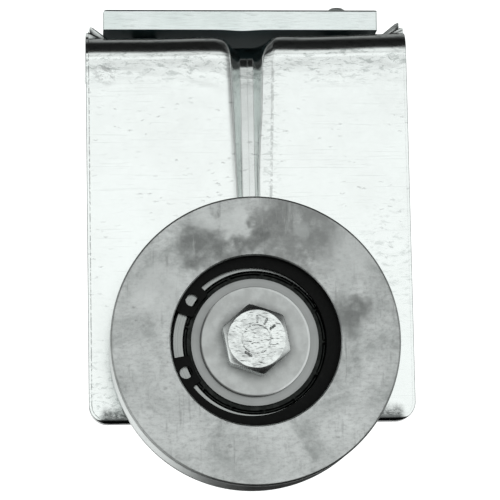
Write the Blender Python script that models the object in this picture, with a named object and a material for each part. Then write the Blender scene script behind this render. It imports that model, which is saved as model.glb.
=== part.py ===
"""A sliding-gate wheel: a V-groove wheel on a ball bearing, on a pressed L bracket with a clamp plate.

The origin is on top of the bracket's flange, on the line of the clamp bolts, above the wheel's axle.
+X is to the right along the bracket, +Y runs from the wheel back under the gate, and +Z is up.
"""

import math

import bmesh
import bpy
from mathutils import Matrix, Vector

MM = 0.001
GAP = 0.3 * MM  # kept between pieces that touch on the real object

# Bracket: one sheet, bent once into a plate and a flange
SHEET = 4.0 * MM
BRACKET_WIDTH = 69.1 * MM
PLATE_BOTTOM = -84.2 * MM
PLATE_FRONT = -18.5 * MM
FLANGE_BACK = 31.0 * MM
BEND_RADIUS = 4.5 * MM
INNER_BEND_RADIUS = 0.5 * MM
CORNER_RADIUS = 4.0 * MM
LIP_CREASE = 29.6 * MM  # from the bracket's middle
LIP_RISE = 2.6 * MM
LIP_LEAN = 1.25 * MM  # of a lip's upper edge inwards
LIP_FLARE = 0.2 * MM  # of its lower edge outwards
LIP_START = 1.2 * MM  # how far behind the bend a lip reaches its full rise

# Gusset groove pressed into the middle of the bend
GROOVE_DEPTH = 3.5 * MM
GROOVE_FLOOR = 1.2 * MM  # half widths
GROOVE_TOP = 3.5 * MM
GROOVE_SHOULDER = 5.9 * MM
SHOULDER_DEPTH = 0.12  # as a share of the groove's own depth
GROOVE_END = -57.5 * MM
GROOVE_MIDDLE = -39.5 * MM
GROOVE_MIDDLE_TOP = 2.3 * MM
GROOVE_MIDDLE_DEPTH = 1.8 * MM
GROOVE_BACK = -4.5 * MM
GROOVE_BEND_RADIUS = 3.6 * MM

# Wheel and its bearing, measured forwards from the bracket plate's front face
AXLE_HEIGHT = -69.1 * MM
AXLE_OFFSET = -0.4 * MM  # of the axle from the bracket's middle
WHEEL_RADIUS = 30.0 * MM
WHEEL_BACK = 3.0 * MM
WHEEL_WIDTH = 17.0 * MM
WHEEL_FRONT = WHEEL_BACK + WHEEL_WIDTH
RAIL_GROOVE_DEPTH = 5.4 * MM  # 90 degree V with a flat root
RAIL_GROOVE_HALF_WIDTH = 6.0 * MM
RIM_CHAMFER = 0.6 * MM
WHEEL_BORE = 17.6 * MM  # in front of the circlip's groove
BORE_CHAMFER = 0.4 * MM
SHOULDER_BORE = 15.2 * MM
BEARING_OUTER = 17.5 * MM
BEARING_BORE = 7.5 * MM
BEARING_WIDTH = 11.0 * MM
BEARING_BACK = 4.4 * MM
BEARING_FRONT = BEARING_BACK + BEARING_WIDTH
BEARING_MIDDLE = BEARING_BACK + BEARING_WIDTH / 2
BEARING_CHAMFER = 0.6 * MM
PITCH_RADIUS = 12.5 * MM
BALL_RADIUS = 2.976 * MM
BALL_COUNT = 8
OUTER_SHOULDER = 14.4 * MM
INNER_SHOULDER = 10.8 * MM
SHIELD_SEAT = 15.3 * MM
SHIELD_OUTER = 15.0 * MM
SHIELD_BORE = 11.2 * MM
SHIELD_SHEET = 0.4 * MM
SHIELD_DEPTH = 0.2 * MM  # of its highest crimps behind the rings' faces
SHIELD_FLAT = 14.0 * MM  # where its flat middle ends
SHIELD_EDGE = 14.3 * MM  # where its crimped edge starts
SHIELD_CRIMPS = 13
CRIMP_DEPTH = 0.24 * MM

# Circlip in the wheel's bore
CIRCLIP_OUTER = 18.5 * MM
CIRCLIP_THICKNESS = 1.5 * MM
CIRCLIP_BACK = BEARING_FRONT + GAP
CIRCLIP_INNER_AT_LUGS = 16.0 * MM
CIRCLIP_INNER_OPPOSITE = 15.0 * MM
LUG_INNER = 13.8 * MM
LUG_HOLE_RADIUS = 1.3 * MM
LUG_HOLE_PITCH = 15.7 * MM
LUG_HOLE_ANGLE = math.radians(28.8)  # from the middle of the gap
LUG_HALF_ANGLE = math.radians(13.0)
CIRCLIP_GAP_ANGLE = math.radians(176.0)  # from +X, towards +Z

# Cage: two pressed ribbons riveted together between the balls
CAGE_INNER = 11.3 * MM
CAGE_OUTER = 13.7 * MM
CAGE_SHEET = 0.5 * MM
RIVET_RADIUS = 0.45 * MM
RIVET_HEAD_RADIUS = 0.95 * MM
RIVET_HEAD = 0.3 * MM

# Axle bolt and what it clamps
BOLT_RADIUS = 4.0 * MM
BOLT_FLATS = 13.0 * MM
BOLT_HEAD = 5.3 * MM
HEAD_TURN = math.radians(11.0)
HEX_CROWN = 0.95  # a head's or nut's chamfer circle, as a share of its flats
BOLT_TIP = 0.8 * MM  # chamfer
COLLAR_RADIUS = 13.3 * MM
COLLAR_FLANGE = 0.6 * MM
BUSH_RADIUS = BEARING_BORE - GAP
BUSH_BORE = BOLT_RADIUS + GAP
BUSH_LENGTH = 4.8 * MM  # of each nose inside the bearing
FRONT_WASHER_RADIUS = 11.45 * MM
FRONT_WASHER = 1.1 * MM
WASHER_BEVEL = 0.15 * MM
SPACER_RADIUS = 10.4 * MM
REAR_WASHER_RADIUS = 8.0 * MM
REAR_WASHER = 1.6 * MM
NUT_HEIGHT = 8.0 * MM
NUT_COLLAR = 2.0 * MM  # the round end that holds the nylon insert
NUT_COLLAR_TAPER = 0.3 * MM
INSERT_HEIGHT = 1.8 * MM
INSERT_RADIUS = 5.4 * MM
BOLT_END = 15.5 * MM  # behind the plate's front face
AXLE_HOLE = 4.5 * MM

# Clamp plate above the flange, and its two bolts
CLAMP_LENGTH = 59.7 * MM
CLAMP_DEPTH = 25.0 * MM
CLAMP_THICKNESS = 4.5 * MM
CLAMP_SHIFT = -0.8 * MM  # the loose plate has slid this far along its bolts' slack
CLAMP_HEIGHT = 2.3 * MM  # of its underside's middle above the flange
CLAMP_TILT = math.radians(0.3)
CLAMP_BOLT_PITCH = 43.0 * MM
CLAMP_BOLT_RADIUS = 3.0 * MM
CLAMP_BOLT_FLATS = 10.0 * MM
CLAMP_BOLT_HEAD = 4.0 * MM
CLAMP_BOLT_LENGTH = 16.0 * MM
CLAMP_BOLT_TIP = 1.5 * MM  # chamfer
CLAMP_WASHER_RADIUS = 6.0 * MM
CLAMP_WASHER = 1.2 * MM
CLAMP_BOLT_DROPS = {"left": 1.0 * MM, "right": 0.0 * MM}  # the left bolt is screwed in less far
TAPPED_HOLE_GAP = 0.4 * MM  # the threads aren't cut, and the plate is tilted
SLOT_HALF_WIDTH = 3.5 * MM
SLOT_LENGTH = 11.0 * MM

WHEEL_SEGMENTS = 48
RING_SEGMENTS = 32
HEX_SEGMENTS = 24
SMALL_SEGMENTS = 8
SMOOTH_ANGLE = math.radians(40)


def clear_scene():
    for thing in list(bpy.data.objects):
        bpy.data.objects.remove(thing, do_unlink=True)


def material(name, colour, roughness, metallic):
    made = bpy.data.materials.new(name)
    made.use_nodes = True
    shader = made.node_tree.nodes["Principled BSDF"]
    shader.inputs["Base Color"].default_value = (*colour, 1)
    shader.inputs["Roughness"].default_value = roughness
    shader.inputs["Metallic"].default_value = metallic
    return made


def frame(name, place, turn=(0, 0, 0)):
    """An empty that pieces are parented to, such as an axle with +Z along it."""
    empty = bpy.data.objects.new(name, None)
    empty.location = place
    empty.rotation_euler = turn
    bpy.context.collection.objects.link(empty)
    return empty


def add(name, mesh_data, finish=None, parent=None, place=(0, 0, 0)):
    """Closes a bmesh into a named object, shaded smooth except at its sharp edges."""
    bmesh.ops.remove_doubles(mesh_data, verts=mesh_data.verts, dist=0.001 * MM)
    bmesh.ops.recalc_face_normals(mesh_data, faces=mesh_data.faces)
    mesh = bpy.data.meshes.new(name)
    mesh_data.to_mesh(mesh)
    mesh_data.free()
    mesh.shade_smooth()
    mesh.set_sharp_from_angle(angle=SMOOTH_ANGLE)
    made = bpy.data.objects.new(name, mesh)
    made.location = place
    made.parent = parent
    if finish:
        mesh.materials.append(finish)
    bpy.context.collection.objects.link(made)
    return made


def at(value, angle):
    return value(angle) if callable(value) else value


def skin(rings, segments, hollow):
    """A body wrapped round +Z. Each ring is a (radius, height) pair of numbers or functions of the angle.

    A hollow body's last ring joins its first. A solid one is closed by a face at each end.
    """
    shape = bmesh.new()
    loops = []
    for radius, height in rings:
        loop = []
        for step in range(segments):
            angle = math.tau * step / segments
            reach = at(radius, angle)
            place = (reach * math.cos(angle), reach * math.sin(angle), at(height, angle))
            loop.append(shape.verts.new(place))
        loops.append(loop)
    pairs = list(zip(loops, loops[1:]))
    if hollow:
        pairs.append((loops[-1], loops[0]))
    else:
        shape.faces.new(loops[0])
        shape.faces.new(loops[-1])
    for first, second in pairs:
        for step in range(segments):
            after = (step + 1) % segments
            shape.faces.new((first[step], first[after], second[after], second[step]))
    return shape


def extrusion(outline, low, high):
    """A prism between two heights from a flat outline of (x, y) points."""
    shape = bmesh.new()
    base = [shape.verts.new((x, y, low)) for x, y in outline]
    top = [shape.verts.new((x, y, high)) for x, y in outline]
    shape.faces.new(base)
    shape.faces.new(top)
    for index in range(len(outline)):
        after = (index + 1) % len(outline)
        shape.faces.new((base[index], base[after], top[after], top[index]))
    return shape


def arc(centre, radius, start, end, steps):
    """Points along an arc, both ends included."""
    return [
        (
            centre[0] + radius * math.cos(start + (end - start) * step / steps),
            centre[1] + radius * math.sin(start + (end - start) * step / steps),
        )
        for step in range(steps + 1)
    ]


def cutter(name, mesh_data, parent=None, place=(0, 0, 0)):
    made = add(name, mesh_data, parent=parent, place=place)
    made.hide_render = True
    made.display_type = "WIRE"
    return made


def cut(piece, *tools):
    for tool in tools:
        cutting = piece.modifiers.new(tool.name, "BOOLEAN")
        cutting.operation = "DIFFERENCE"
        cutting.object = tool


def ring_rings(inner, outer, low, high, bevel=0.0):
    """A plain ring's section, with its four edges bevelled."""
    if not bevel:
        return [(inner, low), (outer, low), (outer, high), (inner, high)]
    return [
        (inner + bevel, low),
        (outer - bevel, low),
        (outer, low + bevel),
        (outer, high - bevel),
        (outer - bevel, high),
        (inner + bevel, high),
        (inner, high - bevel),
        (inner, low + bevel),
    ]


def hexagon(flats, turn=0.0):
    """A hexagon's radius at an angle, with a flat facing the turned +X."""

    def radius(angle):
        sixth = math.tau / 6
        from_flat = (angle - turn + sixth / 2) % sixth - sixth / 2
        return flats / 2 / math.cos(from_flat)

    return radius


def chamfered(radius_at, flats, top, direction):
    """The height where a 30 degree chamfer cone meets a hexagon's side."""

    def height(angle):
        return top - direction * (radius_at(angle) - HEX_CROWN * flats / 2) * math.tan(math.radians(30))

    return height


def hex_bolt(flats, head, shank, length, tip, turn=0.0):
    """A bolt with its head's underside at height 0, its head up and its shank down."""
    sides = hexagon(flats, turn)
    return skin(
        [
            (HEX_CROWN * flats / 2, head),
            (sides, chamfered(sides, flats, head, 1)),
            (sides, 0.0),
            (shank, 0.0),
            (shank, tip - length),
            (shank - tip, -length),
        ],
        HEX_SEGMENTS,
        hollow=False,
    )


# Bracket


def sheet_point(row, depth, radius):
    """Where a row of the sheet lies, this deep inside its outer face, with this bend radius."""
    kind, value = row
    if kind == "plate":
        return PLATE_FRONT + depth, value
    if kind == "flange":
        return value, -depth
    centre_y = PLATE_FRONT + depth + radius
    centre_z = -depth - radius
    return centre_y - radius * math.cos(value), centre_z + radius * math.sin(value)


def groove_at(row):
    """The groove's depth and its half width at its top, in one row of the sheet."""
    kind, value = row
    if kind == "bend":
        return GROOVE_DEPTH, GROOVE_TOP
    if kind == "flange":
        left = max(0.0, min(1.0, (GROOVE_BACK - value) / (GROOVE_BACK - PLATE_FRONT - BEND_RADIUS)))
        return GROOVE_DEPTH * left, GROOVE_TOP
    if value <= GROOVE_MIDDLE:
        share = max(0.0, (value - GROOVE_END) / (GROOVE_MIDDLE - GROOVE_END))
        return GROOVE_MIDDLE_DEPTH * share, GROOVE_MIDDLE_TOP
    share = (value - GROOVE_MIDDLE) / (-BEND_RADIUS - GROOVE_MIDDLE)
    depth = GROOVE_MIDDLE_DEPTH + (GROOVE_DEPTH - GROOVE_MIDDLE_DEPTH) * share
    return depth, GROOVE_MIDDLE_TOP + (GROOVE_TOP - GROOVE_MIDDLE_TOP) * share


def bracket_rows():
    """The sheet's rows from the plate's bottom, up round the bend and back along the flange."""
    rows = []
    for step in range(4):
        swing = math.radians(30 * step)
        height = PLATE_BOTTOM + CORNER_RADIUS * (1 - math.cos(swing))
        rows.append((("plate", height), CORNER_RADIUS * (1 - math.sin(swing))))
    for height in (GROOVE_END, GROOVE_MIDDLE, -BEND_RADIUS):
        rows.append((("plate", height), 0.0))
    for step in range(1, 5):
        rows.append((("bend", math.radians(22.5 * step)), 0.0))
    for back in (PLATE_FRONT + BEND_RADIUS + LIP_START, GROOVE_BACK, FLANGE_BACK):
        rows.append((("flange", back), 0.0))
    return rows


def bracket_face(shape, inner):
    """One face of the sheet as rows of vertices."""
    grid = []
    for row, inset in bracket_rows():
        groove_depth, groove_top = groove_at(row)
        edge = BRACKET_WIDTH / 2 - inset
        lip = 0.0
        if row[0] == "flange":
            lip = LIP_RISE
            edge += LIP_FLARE if inner else -LIP_LEAN
        columns = [
            (-edge, 0.0, lip),
            (-LIP_CREASE, 0.0, 0.0),
            (-groove_top, 0.0, 0.0),
            (-GROOVE_FLOOR, 1.0, 0.0),
            (GROOVE_FLOOR, 1.0, 0.0),
            (groove_top, SHOULDER_DEPTH, 0.0),
            (GROOVE_SHOULDER, 0.0, 0.0),
            (LIP_CREASE, 0.0, 0.0),
            (edge, 0.0, lip),
        ]
        line = []
        for x, share, rise in columns:
            pressed = groove_depth * share
            bend = BEND_RADIUS + (GROOVE_BEND_RADIUS - BEND_RADIUS) * share
            y, z = sheet_point(row, pressed + inner * SHEET, INNER_BEND_RADIUS if inner else bend)
            line.append(shape.verts.new((x, y, z + rise)))
        grid.append(line)
    return grid


def bracket_mesh():
    shape = bmesh.new()
    outer = bracket_face(shape, 0)
    inner = bracket_face(shape, 1)
    rows, columns = len(outer), len(outer[0])
    for grid in (outer, inner):
        for row in range(rows - 1):
            for column in range(columns - 1):
                shape.faces.new(
                    (
                        grid[row][column],
                        grid[row][column + 1],
                        grid[row + 1][column + 1],
                        grid[row + 1][column],
                    )
                )
    for row in (0, rows - 1):
        for column in range(columns - 1):
            shape.faces.new(
                (outer[row][column], outer[row][column + 1], inner[row][column + 1], inner[row][column])
            )
    for column in (0, columns - 1):
        for row in range(rows - 1):
            shape.faces.new(
                (outer[row][column], outer[row + 1][column], inner[row + 1][column], inner[row][column])
            )
    return shape


def slot_outline():
    straight = SLOT_LENGTH / 2 - SLOT_HALF_WIDTH
    right = arc((straight, 0), SLOT_HALF_WIDTH, -math.pi / 2, math.pi / 2, 6)
    left = arc((-straight, 0), SLOT_HALF_WIDTH, math.pi / 2, 3 * math.pi / 2, 6)
    return right + left


def make_bracket(axle, zinc):
    bracket = add("bracket", bracket_mesh(), zinc)
    hole = cutter(
        "cut_axle_hole",
        skin([(AXLE_HOLE, -3 * SHEET), (AXLE_HOLE, 3 * SHEET)], HEX_SEGMENTS, hollow=False),
        axle,
    )
    slots = [
        cutter(
            f"cut_slot_{side}",
            extrusion(slot_outline(), -3 * SHEET, 3 * SHEET),
            place=(sign * CLAMP_BOLT_PITCH / 2, 0, 0),
        )
        for side, sign in (("left", -1), ("right", 1))
    ]
    cut(bracket, hole, *slots)


# Wheel body


def make_wheel(axle, steel):
    middle = WHEEL_BACK + WHEEL_WIDTH / 2
    root = WHEEL_RADIUS - RAIL_GROOVE_DEPTH
    root_half = RAIL_GROOVE_HALF_WIDTH - RAIL_GROOVE_DEPTH
    seat = BEARING_OUTER + GAP
    groove_low, groove_high = CIRCLIP_BACK - GAP, CIRCLIP_BACK + CIRCLIP_THICKNESS + GAP
    rings = [
        (SHOULDER_BORE, WHEEL_BACK),
        (WHEEL_RADIUS - RIM_CHAMFER, WHEEL_BACK),
        (WHEEL_RADIUS, WHEEL_BACK + RIM_CHAMFER),
        (WHEEL_RADIUS, middle - RAIL_GROOVE_HALF_WIDTH),
        (root, middle - root_half),
        (root, middle + root_half),
        (WHEEL_RADIUS, middle + RAIL_GROOVE_HALF_WIDTH),
        (WHEEL_RADIUS, WHEEL_FRONT - RIM_CHAMFER),
        (WHEEL_RADIUS - RIM_CHAMFER, WHEEL_FRONT),
        (WHEEL_BORE + BORE_CHAMFER, WHEEL_FRONT),
        (WHEEL_BORE, WHEEL_FRONT - BORE_CHAMFER),
        (WHEEL_BORE, groove_high),
        (CIRCLIP_OUTER + GAP, groove_high),
        (CIRCLIP_OUTER + GAP, groove_low),
        (seat, groove_low),
        (seat, BEARING_BACK - GAP),
        (SHOULDER_BORE, BEARING_BACK - GAP),
    ]
    add("wheel_rim", skin(rings, WHEEL_SEGMENTS, hollow=True), steel, axle)


def circlip_outline():
    """A ring open at its gap, widest opposite the gap, with a lug at each end."""
    lug_end = LUG_HOLE_ANGLE - LUG_HALF_ANGLE
    lug_start = LUG_HOLE_ANGLE + LUG_HALF_ANGLE
    start, end = CIRCLIP_GAP_ANGLE + lug_end, CIRCLIP_GAP_ANGLE + math.tau - lug_end
    outer = arc((0, 0), CIRCLIP_OUTER, start, end, 36)
    middle = (CIRCLIP_INNER_AT_LUGS + CIRCLIP_INNER_OPPOSITE) / 2
    swing = (CIRCLIP_INNER_AT_LUGS - CIRCLIP_INNER_OPPOSITE) / 2
    inner = []
    steps = 28
    for step in range(steps + 1):
        offset = lug_start + (math.tau - 2 * lug_start) * (1 - step / steps)
        radius = middle + swing * math.cos(offset)
        angle = CIRCLIP_GAP_ANGLE + offset
        inner.append((radius * math.cos(angle), radius * math.sin(angle)))
    first_lug = arc((0, 0), LUG_INNER, CIRCLIP_GAP_ANGLE + lug_start, CIRCLIP_GAP_ANGLE + lug_end, 3)
    last_lug = arc((0, 0), LUG_INNER, CIRCLIP_GAP_ANGLE - lug_end, CIRCLIP_GAP_ANGLE - lug_start, 3)
    return outer + last_lug + inner + first_lug


def make_circlip(axle, black):
    high = CIRCLIP_BACK + CIRCLIP_THICKNESS
    circlip = add("circlip", extrusion(circlip_outline(), CIRCLIP_BACK, high), black, axle)
    for side, sign in (("upper", -1), ("lower", 1)):
        angle = CIRCLIP_GAP_ANGLE + sign * LUG_HOLE_ANGLE
        rings = [(LUG_HOLE_RADIUS, -WHEEL_WIDTH), (LUG_HOLE_RADIUS, WHEEL_WIDTH)]
        hole = cutter(
            f"cut_plier_hole_{side}",
            skin(rings, 2 * SMALL_SEGMENTS, hollow=False),
            axle,
            (LUG_HOLE_PITCH * math.cos(angle), LUG_HOLE_PITCH * math.sin(angle), CIRCLIP_BACK),
        )
        cut(circlip, hole)


def raceway(sign, steps=4):
    """A ball groove's section from low to high: the sign is 1 in the outer ring, -1 in the inner one."""
    reach = BALL_RADIUS + GAP
    shoulder = OUTER_SHOULDER if sign > 0 else INNER_SHOULDER
    half = math.acos(abs(shoulder - PITCH_RADIUS) / reach)
    return [
        (PITCH_RADIUS + sign * reach * math.cos(swing), BEARING_MIDDLE + reach * math.sin(swing))
        for swing in (half * (2 * step / steps - 1) for step in range(steps + 1))
    ]


def make_bearing(axle, ring_steel, shield_steel):
    seat_depth = 3 * SHIELD_SHEET
    outer = [
        (BEARING_OUTER - BEARING_CHAMFER, BEARING_FRONT),
        (SHIELD_SEAT, BEARING_FRONT),
        (SHIELD_SEAT, BEARING_FRONT - seat_depth),
        (OUTER_SHOULDER, BEARING_FRONT - seat_depth),
        *reversed(raceway(1)),
        (OUTER_SHOULDER, BEARING_BACK + seat_depth),
        (SHIELD_SEAT, BEARING_BACK + seat_depth),
        (SHIELD_SEAT, BEARING_BACK),
        (BEARING_OUTER - BEARING_CHAMFER, BEARING_BACK),
        (BEARING_OUTER, BEARING_BACK + BEARING_CHAMFER),
        (BEARING_OUTER, BEARING_FRONT - BEARING_CHAMFER),
    ]
    add("bearing_outer_ring", skin(outer, RING_SEGMENTS, hollow=True), ring_steel, axle)
    inner = [
        (INNER_SHOULDER, BEARING_BACK),
        *raceway(-1),
        (INNER_SHOULDER, BEARING_FRONT),
        (BEARING_BORE, BEARING_FRONT),
        (BEARING_BORE, BEARING_BACK),
    ]
    add("bearing_inner_ring", skin(inner, RING_SEGMENTS, hollow=True), ring_steel, axle)
    for side, face, inwards in (("front", BEARING_FRONT, -1), ("rear", BEARING_BACK, 1)):
        near = face + inwards * SHIELD_DEPTH

        def crimped(angle, near=near, inwards=inwards):
            return near + inwards * CRIMP_DEPTH / 2 * (1 + math.cos(SHIELD_CRIMPS * angle))

        def crimped_back(angle, crimped=crimped, inwards=inwards):
            return crimped(angle) + inwards * SHIELD_SHEET

        flat = near + inwards * CRIMP_DEPTH / 2
        rings = [
            (SHIELD_BORE, flat),
            (SHIELD_FLAT, flat),
            (SHIELD_EDGE, crimped),
            (SHIELD_OUTER, crimped),
            (SHIELD_OUTER, crimped_back),
            (SHIELD_EDGE, crimped_back),
            (SHIELD_BORE, flat + inwards * SHIELD_SHEET),
        ]
        add(f"bearing_shield_{side}", skin(rings, 2 * SHIELD_CRIMPS, hollow=True), shield_steel, axle)


# Cage body


def ribbon(angle):
    """How far the ribbon's inner face stands from the bearing's middle plane."""
    spacing = math.tau / BALL_COUNT
    along = PITCH_RADIUS * ((angle + spacing / 2) % spacing - spacing / 2)
    pocket = BALL_RADIUS + GAP
    return max(GAP / 2, math.sqrt(max(0.0, pocket**2 - along**2)))


def make_cage(axle, cage_steel, ball_steel):
    spacing = math.tau / BALL_COUNT
    pocket = BALL_RADIUS + GAP
    edge = pocket / PITCH_RADIUS
    foot = (pocket + CAGE_SHEET) / PITCH_RADIUS
    rising = [0.6 * edge, 0.9 * edge, edge, foot]
    swings = [-swing for swing in reversed(rising)] + [0.0] + rising
    for side, facing in (("front", 1), ("rear", -1)):
        shape = bmesh.new()
        sections = []
        for ball in range(BALL_COUNT):
            for swing in swings:
                angle = spacing * ball + swing
                inner = ribbon(angle)
                crown = math.sqrt(max(0.0, (pocket + CAGE_SHEET) ** 2 - (PITCH_RADIUS * swing) ** 2))
                outer = max(inner + CAGE_SHEET, crown)
                sections.append(
                    [
                        shape.verts.new(
                            (
                                reach * math.cos(angle),
                                reach * math.sin(angle),
                                BEARING_MIDDLE + facing * height,
                            )
                        )
                        for reach, height in (
                            (CAGE_INNER, inner),
                            (CAGE_OUTER, inner),
                            (CAGE_OUTER, outer),
                            (CAGE_INNER, outer),
                        )
                    ]
                )
        for index, section in enumerate(sections):
            after = sections[(index + 1) % len(sections)]
            for corner in range(4):
                beside = (corner + 1) % 4
                shape.faces.new((section[corner], section[beside], after[beside], after[corner]))
        half = add(f"cage_{side}", shape, cage_steel, axle)
        holes = bmesh.new()
        for ball in range(BALL_COUNT):
            angle = spacing * (ball + 0.5)
            bmesh.ops.create_cone(
                holes,
                cap_ends=True,
                segments=SMALL_SEGMENTS,
                radius1=RIVET_RADIUS + GAP,
                radius2=RIVET_RADIUS + GAP,
                depth=2 * BALL_RADIUS,
                matrix=Matrix.Translation(
                    Vector((PITCH_RADIUS * math.cos(angle), PITCH_RADIUS * math.sin(angle), BEARING_MIDDLE))
                ),
            )
        cut(half, cutter(f"cut_rivet_holes_{side}", holes, axle))
    for ball in range(BALL_COUNT):
        shape = bmesh.new()
        bmesh.ops.create_icosphere(shape, subdivisions=2, radius=BALL_RADIUS)
        angle = spacing * ball
        place = (PITCH_RADIUS * math.cos(angle), PITCH_RADIUS * math.sin(angle), BEARING_MIDDLE)
        add(f"ball_{ball + 1}", shape, ball_steel, axle, place)
        angle = spacing * (ball + 0.5)
        place = (PITCH_RADIUS * math.cos(angle), PITCH_RADIUS * math.sin(angle), BEARING_MIDDLE)
        low = 1.5 * GAP + CAGE_SHEET
        rings = [
            (RIVET_HEAD_RADIUS, -low - RIVET_HEAD),
            (RIVET_HEAD_RADIUS, -low),
            (RIVET_RADIUS, -low),
            (RIVET_RADIUS, low),
            (RIVET_HEAD_RADIUS, low),
            (RIVET_HEAD_RADIUS, low + RIVET_HEAD),
        ]
        add(f"cage_rivet_{ball + 1}", skin(rings, SMALL_SEGMENTS, hollow=False), cage_steel, axle, place)


# Axle bolt and its stack


def make_stack(axle, zinc, turned_steel, nylon):
    collar_back = BEARING_FRONT + GAP
    collar_front = collar_back + COLLAR_FLANGE
    rings = [
        (BUSH_BORE, collar_front),
        (COLLAR_RADIUS, collar_front),
        (COLLAR_RADIUS, collar_back),
        (BUSH_RADIUS, collar_back),
        (BUSH_RADIUS, BEARING_FRONT - BUSH_LENGTH),
        (BUSH_BORE, BEARING_FRONT - BUSH_LENGTH),
    ]
    add("axle_collar", skin(rings, RING_SEGMENTS, hollow=True), turned_steel, axle)
    washer_back = collar_front + GAP
    washer_front = washer_back + FRONT_WASHER
    rings = ring_rings(BUSH_BORE, FRONT_WASHER_RADIUS, washer_back, washer_front, WASHER_BEVEL)
    add("axle_washer_front", skin(rings, RING_SEGMENTS, hollow=True), zinc, axle)
    seat = washer_front + GAP
    bolt = hex_bolt(BOLT_FLATS, BOLT_HEAD, BOLT_RADIUS, seat + BOLT_END, BOLT_TIP, HEAD_TURN)
    add("axle_bolt", bolt, zinc, axle, (0, 0, seat))
    rings = [
        (BUSH_BORE, GAP),
        (SPACER_RADIUS, GAP),
        (SPACER_RADIUS, BEARING_BACK - GAP),
        (BUSH_RADIUS, BEARING_BACK - GAP),
        (BUSH_RADIUS, BEARING_BACK + BUSH_LENGTH),
        (BUSH_BORE, BEARING_BACK + BUSH_LENGTH),
    ]
    add("rear_spacer", skin(rings, RING_SEGMENTS, hollow=True), turned_steel, axle)
    washer_front = -SHEET - GAP
    washer_back = washer_front - REAR_WASHER
    rings = ring_rings(BUSH_BORE, REAR_WASHER_RADIUS, washer_back, washer_front)
    add("axle_washer_rear", skin(rings, HEX_SEGMENTS, hollow=True), zinc, axle)
    nut_front = washer_back - GAP
    nut_back = nut_front - NUT_HEIGHT
    sides = hexagon(BOLT_FLATS, HEAD_TURN)
    crown = HEX_CROWN * BOLT_FLATS / 2
    insert_front = nut_back + INSERT_HEIGHT
    rings = [
        (BUSH_BORE, nut_front),
        (crown, nut_front),
        (sides, chamfered(sides, BOLT_FLATS, nut_front, 1)),
        (sides, chamfered(sides, BOLT_FLATS, nut_back + NUT_COLLAR, -1)),
        (crown, nut_back + NUT_COLLAR),
        (crown - NUT_COLLAR_TAPER, nut_back),
        (INSERT_RADIUS + GAP, nut_back),
        (INSERT_RADIUS + GAP, insert_front + GAP),
        (BUSH_BORE, insert_front + GAP),
    ]
    add("axle_nut", skin(rings, HEX_SEGMENTS, hollow=True), zinc, axle)
    rings = ring_rings(BUSH_BORE, INSERT_RADIUS, nut_back, insert_front)
    add("axle_nut_insert", skin(rings, HEX_SEGMENTS, hollow=True), nylon, axle)


# Clamp


def make_clamp(zinc):
    half_x, half_y = CLAMP_LENGTH / 2, CLAMP_DEPTH / 2
    outline = [(-half_x, -half_y), (half_x, -half_y), (half_x, half_y), (-half_x, half_y)]
    middle = Vector((CLAMP_SHIFT, 0, CLAMP_HEIGHT))
    plate = add("clamp_plate", extrusion(outline, 0.0, CLAMP_THICKNESS), zinc, place=middle)
    plate.rotation_euler = (0, CLAMP_TILT, 0)
    for side, sign in (("left", -1), ("right", 1)):
        place = (sign * CLAMP_BOLT_PITCH / 2, 0, 0)
        reach = CLAMP_BOLT_RADIUS + TAPPED_HOLE_GAP
        hole = cutter(
            f"cut_tapped_hole_{side}",
            skin([(reach, -CLAMP_THICKNESS), (reach, 4 * CLAMP_THICKNESS)], HEX_SEGMENTS, hollow=False),
            place=place,
        )
        cut(plate, hole)
        washer_top = -SHEET - GAP
        rings = ring_rings(SLOT_HALF_WIDTH, CLAMP_WASHER_RADIUS, washer_top - CLAMP_WASHER, washer_top)
        add(f"clamp_washer_{side}", skin(rings, HEX_SEGMENTS, hollow=True), zinc, place=place)
        bolt = hex_bolt(
            CLAMP_BOLT_FLATS,
            CLAMP_BOLT_HEAD,
            CLAMP_BOLT_RADIUS,
            CLAMP_BOLT_LENGTH,
            CLAMP_BOLT_TIP,
        )
        seat = washer_top - CLAMP_WASHER - GAP - CLAMP_BOLT_DROPS[side]
        made = add(f"clamp_bolt_{side}", bolt, zinc, place=(place[0], place[1], seat))
        made.rotation_euler = (math.pi, 0, 0)


def main():
    clear_scene()
    zinc = material("zinc_plate", (0.83, 0.85, 0.84), 0.32, 1.0)
    steel = material("wheel_steel", (0.5, 0.52, 0.51), 0.45, 1.0)
    turned_steel = material("turned_steel", (0.45, 0.46, 0.45), 0.4, 1.0)
    black = material("black_oxide", (0.02, 0.021, 0.02), 0.45, 0.4)
    ring_steel = material("bearing_steel", (0.7, 0.72, 0.71), 0.22, 1.0)
    shield_steel = material("shield_steel", (0.12, 0.125, 0.12), 0.4, 1.0)
    cage_steel = material("cage_steel", (0.5, 0.5, 0.48), 0.4, 1.0)
    ball_steel = material("ball_steel", (0.75, 0.76, 0.76), 0.1, 1.0)
    nylon = material("nylon", (0.25, 0.4, 0.6), 0.5, 0.0)
    axle = frame("axle", (AXLE_OFFSET, PLATE_FRONT, AXLE_HEIGHT), (math.pi / 2, 0, 0))
    make_bracket(axle, zinc)
    make_wheel(axle, steel)
    make_circlip(axle, black)
    make_bearing(axle, ring_steel, shield_steel)
    make_cage(axle, cage_steel, ball_steel)
    make_stack(axle, zinc, turned_steel, nylon)
    make_clamp(zinc)


main()
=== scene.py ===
"""Looks of a sliding-gate wheel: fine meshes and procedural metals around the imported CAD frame.

Lengths are in metres. Pieces on the axle are made in its own frame: +Z points out of the bracket's plate
towards the wheel's front, and +X is the row's +X.
"""

import math

import bmesh
import bpy
import numpy as np
from mathutils import Matrix, Vector, noise


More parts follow.
